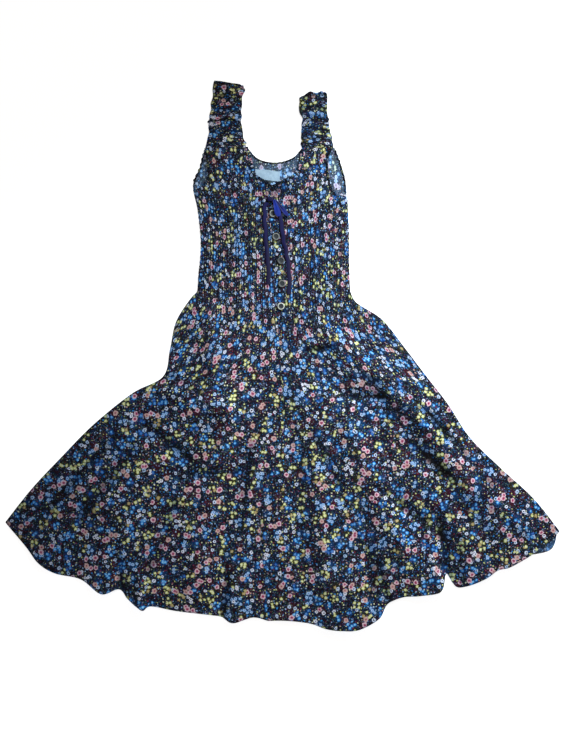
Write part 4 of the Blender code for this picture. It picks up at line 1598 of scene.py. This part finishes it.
@dataclass(frozen=True)
class Trims:
    """The placket, the neckline's casings and binding, and the armholes' frilled edges."""

    placket_half_width: float = 0.0085
    placket_foot: tuple[float, float] = (-0.0020, 0.0865)
    placket_head: tuple[float, float] = (-0.0205, 0.3030)
    casing_width: float = 0.007 * 0.86
    edge_width: float = 0.0040
    edge_inset: float = 0.0015
    binding_width: float = 0.0030

    def placket(self, finishes: Finishes) -> Object:
        """The button band down the centre front."""
        middle = [self.placket_foot, *((x, y) for _, x, y in reversed(BUTTON_PLACES)), self.placket_head]
        rows = np.array(middle)
        band = Band(
            "cloth_placket", lambda share: along(rows, share), steady(TRIM_LEVEL - 0.0004),
            2 * self.placket_half_width, columns=20, rows=170, crown=0.0004, gathers=31, gather_rise=0.0005,
            shift=(0.31, 0.47), seed=41,
        )
        return band.build(finishes.printed, "placket", "floral_cloth")

    def casing_shade(self, up: Array) -> Array:
        """Painted shade: how much darker a casing is drawn towards the centre front."""
        return 0.95 * ease(0.55, 0.12, up)

    def casings(self, finishes: Finishes) -> list[Object]:
        """The gathered casings on the front neckline."""
        made = []
        for side, seed, sections in (("left", 51, LEFT_FRONT), ("right", 57, RIGHT_FRONT)):
            name = f"neck_casing_{side}"
            band = Band(
                f"cloth_{name}", edge_route(sections, NECK_ROW, len(sections) - 1, True, 0.10, 0.97),
                lambda up: TRIM_LEVEL - 0.0002 + 0.0010 * (1 - ease(0.5, 1.0, up)), self.casing_width,
                columns=10, rows=190, crown=0.0007, gathers=27, gather_rise=0.0009, frill=0.0004, frills=13,
                fullness=1.7, shift=(0.9, 0.2), seed=seed,
            )
            made.append(band.build(finishes.printed, name, "dark_edge", self.casing_shade))
        return made

    def armholes(self, finishes: Finishes) -> tuple[list[Object], list[Object]]:
        """The frilled edges of the armholes, on the front and on the back."""
        fronts, backs = [], []
        shared = {"rows": 150, "crown": 0.0006, "spread": 0.9, "fullness": 1.5}
        for side, inset, seed, sections, outline in (
            ("left", self.edge_inset, 61, LEFT_FRONT, BACK_LEFT_SIDE),
            ("right", -self.edge_inset, 67, RIGHT_FRONT, BACK_RIGHT_SIDE),
        ):
            name = f"armhole_front_{side}"
            front = Band(
                f"cloth_{name}", edge_route(sections, NECK_ROW, len(sections) - 1, False, 0.02, 0.97),
                steady(TRIM_LEVEL - 0.0009), self.edge_width, gathers=19, gather_rise=0.0008,
                frill=0.0010, frills=7, seed=seed, **shared,
            )
            # Painted shade: the front armhole edges are darkened further along their whole length.
            fronts.append(front.build(finishes.edge, name, "dark_edge", steady(0.3)))
            name = f"armhole_back_{side}"
            back = Band(
                f"cloth_{name}", edge_route(outline, 4, 8, False, 0.02, 0.90, (inset, 0.0)),
                steady(FRONT_LEVEL), self.edge_width, gathers=23, gather_rise=0.0006,
                frill=0.0011, frills=8, seed=seed + 10, **shared,
            )
            # Painted shade: the back armhole edges are darkened a little along their whole length.
            backs.append(back.build(finishes.edge, name, "dark_edge", steady(0.15)))
        return fronts, backs

    def binding(self, finishes: Finishes) -> Object:
        """The thin dark edge of the back's neckline."""
        rows = values(BACK_NECK)
        band = Band(
            "cloth_back_neck_binding",
            lambda share: along(rows, mix(0.06, 0.95, share)) + np.array((0, -0.0012)),
            steady(FRONT_LEVEL + 0.0002), self.binding_width, columns=6, rows=120, crown=0.0006,
            frill=0.0002, frills=17, seed=81,
        )
        # Painted shade: the binding is darkened further along its whole length.
        return band.build(finishes.edge, "back_neck_binding", "dark_edge", steady(0.6))

    def build(self, finishes: Finishes) -> tuple[list, list, Object]:
        """Builds all of them.

        Returns:
            The trims of each front half, the back's trims, and the placket.
        """
        casings = self.casings(finishes)
        fronts, backs = self.armholes(finishes)
        binding = self.binding(finishes)
        return [[c, f] for c, f in zip(casings, fronts)], [*backs, binding], self.placket(finishes)


# ---------------------------------------------------------------- straps


@dataclass(frozen=True)
class StrapTop:
    """The uneven top of a strap, where it folds over."""

    lumps: tuple[tuple[float, float, float], ...]

    def rise(self, across: Array) -> Array:
        """How far the top stands out over its straight line."""
        return sum(height * bell(across - at, width) for at, width, height in self.lumps)


@dataclass(frozen=True)
class Strap:
    """A ruched strap folded over at the shoulder, its back layer under its front layer."""

    name: str
    sections: Rows
    top: StrapTop
    shift: tuple[float, float]
    seed: int
    cloth_width: float
    # Painted light: how much lighter the whole strap is drawn, as if its puffs took more of the lamp's light.
    painted_puff_light: float
    nubs: tuple[tuple[float, float, float, float], ...]
    ruches: float = 5.2
    ruche_rise: float = 0.0026
    scallop: float = 0.0014
    low: float = 0.0010
    high: float = 0.0036
    edge_drop: float = 0.0012
    fullness: float = 1.38
    end_fade: float = 0.08

    @property
    def cloth_length(self) -> float:
        """Length of its cloth, both layers with the ruches opened."""
        rows = values(self.sections)
        return 2 * (rows[-1, 1] - rows[0, 1]) * self.fullness

    def ridge(self, across: Array, up: Array) -> Array:
        """The ruches' profile, from 0 in a pinch to 1 on a puff."""
        noise = SoftNoise(self.seed)
        turn = self.ruches * up + 0.25 * noise.at(up * 6, across * 1.6)
        turn = turn + (0.25 + 0.3 * noise.at(up * 3 + 7, 1.0)) * (across - 0.5)
        broad = pleats(turn) ** 0.7
        small = pleats(2.4 * turn + 0.5 * noise.at(up * 9, across * 3))
        fine = 0.16 * noise.at(up * 40, across * 5 + 11)
        return np.clip(0.70 * broad + 0.34 * small + fine, 0, 1.15)

    def swing(self, side: Array, up: Array) -> Array:
        """The soft waves and the nubs of the edges, which turn in at the top."""
        noise = SoftNoise(self.seed + 1)
        puff = -0.5 * np.cos(TAU * (self.ruches * up + 0.4 * noise.at(up * 5, side * 3.0 + 5)))
        wave = self.scallop * (puff + 0.8 * noise.at(up * 13 + 3, side * 5.0 + 8))
        nubs = sum(reach * bell(up - at, width) * (side == on) for on, at, width, reach in self.nubs)
        return wave + nubs - 0.0022 * ease(0.95, 1.0, up)

    def place(self, across: Array, row: Array) -> Array:
        """Where a point of the strap lies: up its back layer, then down its front layer."""
        up = 1 - np.abs(2 * row - 1)
        left_x, left_y, right_x, right_y = along(values(self.sections), up).T
        near_base = ease(0, self.end_fade, up)
        side = np.where(across < 0.5, 0.0, 1.0)
        outward = self.swing(side, up) * near_base * (2 * across - 1) ** 3
        x = mix(left_x, right_x, across) + outward
        y = mix(left_y, right_y, across) + self.top.rise(across) * ease(0.90, 1.0, up)
        ridge = self.ridge(across, up)
        y = y + 0.0012 * np.cos(math.pi * self.ruches * up * 2) * (ridge - 0.5) * near_base
        front = ease(0.488, 0.512, row)
        edge = (2 * across - 1) ** 4
        puff = self.ruche_rise * ridge * near_base * (1 - 0.55 * edge) * ease(1.02, 0.93, up)
        upper = self.high + puff - self.edge_drop * edge
        return np.column_stack((x, y, mix(self.low, upper, front)))

    def cut(self, across: Array, row: Array) -> Array:
        """Where a point was on the flat cloth."""
        run = row * self.cloth_length
        return np.column_stack(((across - 0.5) * self.cloth_width + self.shift[0], run + self.shift[1]))

    def shade(self, across: Array, row: Array) -> Array:
        """Painted shade: darker between the ruches, at the edges and at the fold on top, and lighter all over
        by the strap's painted light.
        """
        up = 1 - np.abs(2 * row - 1)
        deep = np.clip(1.08 - self.ridge(across, up), 0, 1) ** 1.1 * ease(0, self.end_fade, up)
        edge = bell(0.5 - np.abs(across - 0.5), 0.035)
        top = bell(1 - up, 0.012)
        return np.clip(1.75 * deep + 0.45 * edge + 0.4 * top - self.painted_puff_light, -0.4, 1.4)

    def build(self, finishes: Finishes) -> None:
        panel = Panel(f"cloth_{self.name}", 44, 300, self.place, self.cut, 0.0006, self.shade, both_ways=True)
        obj = declare(panel.build(finishes.printed), self.name)
        self.cloth_length
        LOG.info("strap: %s", obj.name)


LEFT_STRAP = (
    ("base", -0.153, 0.413, -0.072, 0.416),
    ("low", -0.147, 0.440, -0.079, 0.440),
    ("lower_middle", -0.146, 0.465, -0.081, 0.465),
    ("middle", -0.143, 0.490, -0.080, 0.490),
    ("upper", -0.139, 0.517, -0.079, 0.515),
    ("top", -0.138, 0.547, -0.075, 0.539),
)
RIGHT_STRAP = (
    ("base", 0.040, 0.412, 0.103, 0.413),
    ("low", 0.038, 0.430, 0.099, 0.432),
    ("lower_middle", 0.039, 0.450, 0.095, 0.451),
    ("middle", 0.040, 0.470, 0.092, 0.471),
    ("upper", 0.033, 0.496, 0.090, 0.497),
    ("top", 0.041, 0.520, 0.089, 0.524),
)
LEFT_TOP = StrapTop(((0.95, 0.06, -0.002), (0.25, 0.2, 0.001)))
LEFT_NUBS = ((0.0, 0.40, 0.022, 0.0038), (1.0, 0.90, 0.030, 0.0030), (1.0, 0.07, 0.030, 0.0030))
RIGHT_NUBS = ((0.0, 0.95, 0.050, 0.0030), (1.0, 0.59, 0.030, 0.0028), (0.0, 0.12, 0.030, 0.0018))
RIGHT_TOP = StrapTop(((0.32, 0.16, 0.004), (0.80, 0.11, 0.003), (0.0, 0.12, -0.003)))


# ---------------------------------------------------------------- buttons


BUTTON_PLACES: Rows = (
    ("button_1", -0.018, 0.281),
    ("button_2", -0.012, 0.235),
    ("button_3", -0.002, 0.187),
    ("button_4", 0.000, 0.141),
    ("button_5", -0.002, 0.096),
)


@dataclass(frozen=True)
class Buttons:
    """Five round shell buttons, each with a rolled rim round a dished middle, and their stitches."""

    profile: tuple[tuple[float, float], ...] = (
        (0.0, 0.0014), (0.0030, 0.0014), (0.0041, 0.0016), (0.0047, 0.0021), (0.0054, 0.0026),
        (0.0063, 0.0026), (0.0070, 0.0021), (0.0072, 0.0013), (0.0068, 0.0005), (0.0058, 0.0),
    )
    hole_reach: float = 0.0012
    stitch_radius: float = 0.00032
    stitch_level: float = 0.00155
    smoke_starts: float = 0.0056
    smoke_full: float = 0.0047
    lift: float = 0.0004
    clouding: tuple[float, ...] = (0.48, 0.70, 0.88, 0.76, 0.12)

    def one(self, name: str, x: float, y: float, cloud: float, finishes: Finishes) -> Object:
        """One button, turned round its middle.

        Args:
            name: The CAD node that it stands for.
            x: Its middle, across.
            y: Its middle, along.
            cloud: How dark its rim is, from 0 to 1.
            finishes: The dress's materials.
        """
        bm = bmesh.new()
        verts = [bm.verts.new((r, 0, z)) for r, z in self.profile]
        edges = [bm.edges.new(pair) for pair in zip(verts, verts[1:])]
        bmesh.ops.spin(
            bm, geom=[*verts, *edges], cent=(0, 0, 0), axis=(0, 0, 1), dvec=(0, 0, 0),
            angle=TAU, steps=48, use_merge=True, use_duplicate=False,
        )
        bmesh.ops.remove_doubles(bm, verts=bm.verts[:], dist=1e-6)
        bmesh.ops.holes_fill(bm, edges=[e for e in bm.edges if e.is_boundary], sides=0)
        bmesh.ops.recalc_face_normals(bm, faces=bm.faces[:])
        self._add_stitches(bm)
        smoke = bm.verts.layers.float.new("gather")
        # On the buttons the attribute holds the shell's own clouding, not shade.
        for vert in bm.verts:
            inside = float(ease(self.smoke_starts, self.smoke_full, vert.co.xy.length))
            vert[smoke] = cloud + (1 - cloud) * inside
        centre = Vector((x + LAY_SHIFT[0], y + LAY_SHIFT[1], PLACKET_TOP + self.lift))
        bmesh.ops.translate(bm, verts=bm.verts[:], vec=centre)
        obj = new_object(f"shell_{name}", bm)
        dress(obj, finishes.shell)
        return declare(obj, name)

    def _add_stitches(self, bm: bmesh.types.BMesh) -> None:
        """Adds two short stitches between the button's four holes."""
        for side in (-1, 1):
            made = bmesh.ops.create_cone(
                bm, cap_ends=True, segments=8, radius1=self.stitch_radius, radius2=self.stitch_radius,
                depth=2.4 * self.hole_reach,
            )
            turn = Matrix.Rotation(math.pi / 2, 3, "Y")
            bmesh.ops.rotate(bm, verts=made["verts"], matrix=turn)
            bmesh.ops.translate(bm, verts=made["verts"], vec=(0, side * self.hole_reach, self.stitch_level))

    def build(self, finishes: Finishes) -> None:
        """Builds all five."""
        for (name, x, y), cloud in zip(BUTTON_PLACES, self.clouding):
            self.one(name, x, y, cloud, finishes)
        LOG.info("buttons: %d", len(BUTTON_PLACES))


# ---------------------------------------------------------------- ribbon bow


@dataclass(frozen=True)
class RibbonBow:
    """A small satin bow at the neckline: a knot, two loops and two long free tails."""

    width: float = 0.009
    wall: float = 0.0007
    knot_place: tuple[float, float] = (-0.023, 0.3095)
    knot_size: tuple[float, float, float] = (0.013, 0.010, 0.0050)
    left_tail: Rows = (
        ("knot", -0.0300, 0.3030, 0.0075),
        ("drop", -0.0350, 0.2880, 0.0068),
        ("fall", -0.0335, 0.2620, 0.0060),
        ("middle", -0.0320, 0.2350, 0.0058),
        ("low", -0.0305, 0.2080, 0.0058),
        ("sway", -0.0275, 0.1800, 0.0058),
        ("end", -0.0265, 0.1400, 0.0058),
    )
    right_tail: Rows = (
        ("knot", -0.0140, 0.3030, 0.0074),
        ("drop", -0.0060, 0.2860, 0.0074),
        ("fall", -0.0010, 0.2600, 0.0074),
        ("pass", 0.0025, 0.2330, 0.0074),
        ("middle", 0.0085, 0.2050, 0.0074),
        ("low", 0.0125, 0.1790, 0.0074),
        ("sway", 0.0148, 0.1500, 0.0062),
        ("end", 0.0146, 0.1200, 0.0060),
    )
    loops: Rows = (
        ("ribbon_loop_left", -0.0160, 0.3080, -0.0062, 0.2750, 0.0064, 0.0121),
        ("ribbon_loop_right", -0.0128, 0.3075, 0.0120, 0.2760, 0.0044, 0.0092),
    )
    loop_rise: float = 0.0008
    loop_neck: float = 0.45
    painted_loop_shade: dict[str, float] = field(
        default_factory=lambda: {"ribbon_loop_left": 0.0, "ribbon_loop_right": 0.45}
    )

    def knot(self, finishes: Finishes) -> Object:
        """The wrapped knot, with the creases of the ribbon that passes round it."""
        bm = bmesh.new()
        bmesh.ops.create_cube(bm, size=1)
        bmesh.ops.subdivide_edges(bm, edges=bm.edges[:], cuts=11, use_grid_fill=True)
        for vert in bm.verts:
            ball = vert.co.normalized() * 0.5
            vert.co = vert.co.lerp(ball, 0.55)
            crease = 1 - 0.10 * abs(math.sin(vert.co.x * 11 + vert.co.y * 5)) ** 3
            vert.co = Vector((vert.co.x * crease, vert.co.y * crease, vert.co.z * crease))
        every_axis = {"use_axis_x": True, "use_axis_y": True, "use_axis_z": True}
        bmesh.ops.smooth_vert(bm, verts=bm.verts[:], factor=0.5, **every_axis)
        bmesh.ops.scale(bm, verts=bm.verts[:], vec=self.knot_size)
        bmesh.ops.recalc_face_normals(bm, faces=bm.faces[:])
        place = Vector((*self.knot_place, RIBBON_LEVEL + self.knot_size[2] / 2 - 0.0002))
        bmesh.ops.translate(bm, verts=bm.verts[:], vec=place + Vector(LAY_SHIFT))
        obj = new_object("satin_knot", bm)
        layer = obj.data.uv_layers.new(name="Cut")
        for loop in obj.data.loops:
            spot = obj.data.vertices[loop.vertex_index].co
            layer.data[loop.index].uv = (spot.y, spot.x)
        # Painted shade: the knot is drawn almost wholly in the satin's deep tone.
        add_painted_shade(obj, np.full(len(obj.data.vertices), 0.95))
        dress(obj, finishes.satin)
        return declare(obj, "ribbon_knot")

    def tail(self, side: str, rows: Rows, finishes: Finishes) -> tuple[Object, Array]:
        """One free tail, which lies in soft waves and ends bare.

        Returns:
            The piece, and the points of its middle.
        """
        route = values(rows)
        band = Band(
            f"satin_tail_{side}", lambda share: along(route, share),
            lambda share: along(route, share)[:, 2] + 0.0007, self.width * 0.93, columns=8, rows=150,
            crown=0.0005, frill=0.0010, frills=5 if side == "left" else 6, shift=(0.0, 0.0),
            wall=self.wall, seed=91 if side == "left" else 97,
        )
        # Painted shade: the tails are drawn nearly in the satin's deep tone, deepest at their ends and edges.
        obj = band.build(finishes.satin, f"ribbon_tail_{side}", "satin_ribbon", lambda up: 0.8 + 0.2 * up)
        path = along(route, np.linspace(0, 1, 24)) + LAY_SHIFT + np.array((0, 0, 0.0007))
        return obj, path

    def loop(self, row: tuple, finishes: Finishes) -> Object:
        """One flattened loop: down to its tip and back over itself."""
        name, x0, y0, x1, y1, half_width, level = row
        length = math.hypot(x1 - x0, y1 - y0)
        lead = np.array(((x1 - x0) / length, (y1 - y0) / length))
        noise = SoftNoise(101 if name.endswith("left") else 107)

        def place(across: Array, up: Array) -> Array:
            out = np.sin(math.pi * up)
            wide = mix(self.loop_neck, 1.0, ease(0, 0.8, out)) * (1 - 0.5 * ease(0.8, 1, out))
            away = (2 * across - 1) * half_width * wide
            x = x0 + lead[0] * length * out - lead[1] * away
            y = y0 + lead[1] * length * out + lead[0] * away
            pleat = 0.0005 * np.cos(across * TAU * 1.5) * (1 - out) + 0.0003 * noise.at(across * 3, up * 5)
            z = level + self.loop_rise * (1 - np.cos(math.pi * up)) + pleat
            return np.column_stack((x, y, z))

        def cut(across: Array, up: Array) -> Array:
            return np.column_stack(((across - 0.5) * self.width, up * 2 * length))

        def shade(across: Array, up: Array) -> Array:
            # Painted shade: darker at the loop's neck and edges, and the right loop darker all over.
            return self.painted_loop_shade[name] + 0.3 * (1 - np.sin(math.pi * up)) + 0.3 * from_middle(across, 3)

        panel = Panel(name.replace("ribbon", "satin"), 16, 90, place, cut, 0.0005, shade, True)
        return declare(panel.build(finishes.satin), name)

    def build(self, finishes: Finishes) -> None:
        """Builds the bow: its knot, its loops and its tails."""
        knot = self.knot(finishes)
        loops = [self.loop(row, finishes) for row in self.loops]
        for side, rows, carried in (
            ("left", self.left_tail, [knot, loops[0]]), ("right", self.right_tail, [loops[1]]),
        ):
            obj, path = self.tail(side, rows, finishes)
            length = float(np.linalg.norm(np.diff(path, axis=0), axis=1).sum())
            tuple(float(v) for v in path[0])
            [tuple(float(v) for v in point) for point in path]
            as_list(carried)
        LOG.info("ribbon bow: a knot, %d loops and two tails", len(loops))


# ---------------------------------------------------------------- neck label


@dataclass(frozen=True)
class NeckLabel:
    """A blank woven label, folded at its ends and sewn inside the back neckline."""

    size: tuple[float, float] = (0.050, 0.020)
    centre: tuple[float, float] = (-0.0290, 0.3580)
    turn: float = math.radians(-4)
    wall: float = 0.0006

    def build(self, finishes: Finishes) -> None:
        width, height = self.size
        cos, sin = math.cos(self.turn), math.sin(self.turn)
        noise = SoftNoise(121)

        def place(across: Array, up: Array) -> Array:
            a, b = (across - 0.5) * width, (up - 0.5) * height
            b = b + 0.0008 * np.sin(across * 5.0)
            x = self.centre[0] + a * cos - b * sin
            y = self.centre[1] + a * sin + b * cos
            curl = 0.0004 * noise.at(across * 4, up * 3) + 0.0003 * from_middle(across, 8)
            return np.column_stack((x, y, FRONT_LEVEL + 0.0009 + curl))

        def cut(across: Array, up: Array) -> Array:
            return np.column_stack((across * width, up * height))

        def shade(across: Array, up: Array) -> Array:
            # Painted shade at the label's folded ends and along its long edges.
            ends = bell(0.5 - np.abs(across - 0.5) - 0.06, 0.012)
            rim = bell(0.5 - np.abs(up - 0.5), 0.05)
            return np.clip(0.7 * ends + 0.5 * rim, 0, 1)

        panel = Panel("tape_neck_label", 60, 28, place, cut, self.wall, shade)
        obj = declare(panel.build(finishes.label), "neck_label")
        LOG.info("neck label: %s", obj.name)


# ---------------------------------------------------------------- studio


@dataclass(frozen=True)
class Studio:
    """A white table top, soft light all round and a camera straight above."""

    view_centre: tuple[float, float] = (-0.002, -0.040)
    view_height: float = 1.5
    distance: float = 2.4
    floor_side: float = 12.0
    sky: float = 0.285
    sky_tint: tuple[float, float, float, float] = (1.0, 0.95, 0.915, 1)
    key_power: float = 128.0
    key_colour: tuple[float, float, float] = (0.90, 0.985, 1.02)
    key_place: tuple[float, float, float] = (0.70, 1.00, 1.00)
    key_aim: tuple[float, float, float] = (0.28, -0.02, 0.0)
    key_radius: float = 0.12
    key_cone: float = math.radians(59)

    def floor(self) -> None:
        """The white surface that the dress lies on."""
        bm = bmesh.new()
        bmesh.ops.create_grid(bm, x_segments=1, y_segments=1, size=self.floor_side / 2)
        bmesh.ops.translate(bm, verts=bm.verts[:], vec=(0, 0, -0.0004))
        obj = new_object("table_top", bm)
        surface = Surface(
            "White table top", Base_Color=(0.95, 0.95, 0.95, 1), Roughness=1.0, Specular_IOR_Level=0.0,
            Emission_Color=WHITE, Emission_Strength=0.75,
        )
        obj.data.materials.append(surface.material)

    def light(self) -> None:
        """Even light from the sky, and a soft lamp from the upper right."""
        scene = bpy.context.scene
        world = bpy.data.worlds.new("Soft white room")
        scene.world = world
        world.use_nodes = True
        sky = world.node_tree.nodes["Background"]
        graph = Graph(world.node_tree)
        seen = graph.node("ShaderNodeLightPath").outputs["Is Camera Ray"]
        graph.feed(sky.inputs["Color"], graph.blend(seen, self.sky_tint, WHITE))
        graph.feed(sky.inputs["Strength"], graph.math("MULTIPLY_ADD", seen, 1 - self.sky, self.sky))
        lamp = bpy.data.lights.new("Key", "SPOT")
        lamp.shadow_soft_size = self.key_radius
        lamp.spot_size = self.key_cone
        lamp.spot_blend = 1.0
        lamp.energy = self.key_power
        lamp.color = self.key_colour
        key = bpy.data.objects.new("Key", lamp)
        key.location = self.key_place
        lead = Vector(self.key_aim) - Vector(self.key_place)
        key.rotation_euler = lead.to_track_quat("-Z", "Y").to_euler()
        scene.collection.objects.link(key)

    def camera(self) -> None:
        """The camera, looking straight down with the shoulders at the top."""
        data = bpy.data.cameras.new("Camera")
        data.type = "PERSP"
        data.sensor_width = 36
        data.lens = data.sensor_width * self.distance / self.view_height
        data.clip_end = 50
        obj = bpy.data.objects.new("Camera", data)
        obj.location = (*self.view_centre, self.distance)
        bpy.context.scene.collection.objects.link(obj)
        bpy.context.scene.camera = obj

    def build(self) -> None:
        """Sets up the floor, the light, the camera and plain colours."""
        self.camera()
        self.floor()
        self.light()
        bpy.context.scene.view_settings.view_transform = "Standard"
        LOG.info("studio: floor, sky, key light and camera")


def main() -> None:
    """Builds the dress and its studio, piece by piece."""
    logging.basicConfig(level=logging.INFO, format="%(name)s: %(message)s")
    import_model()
    Studio().build()
    finishes = Finishes.build()
    drape = Drape()
    RibbonBow().build(finishes)
    skirt = Skirt(drape)
    skirt.build(finishes)
    Bodice(drape, skirt).build(finishes, Trims())
    for strap in (
        Strap("strap_left", LEFT_STRAP, LEFT_TOP, (3.3, 0.4), 141, 0.066, 0.40, LEFT_NUBS),
        Strap("strap_right", RIGHT_STRAP, RIGHT_TOP, (3.9, 0.9), 151, 0.055, 0.05, RIGHT_NUBS),
    ):
        strap.build(finishes)
    NeckLabel().build(finishes)
    Buttons().build(finishes)


if __name__ == "__main__":
    main()
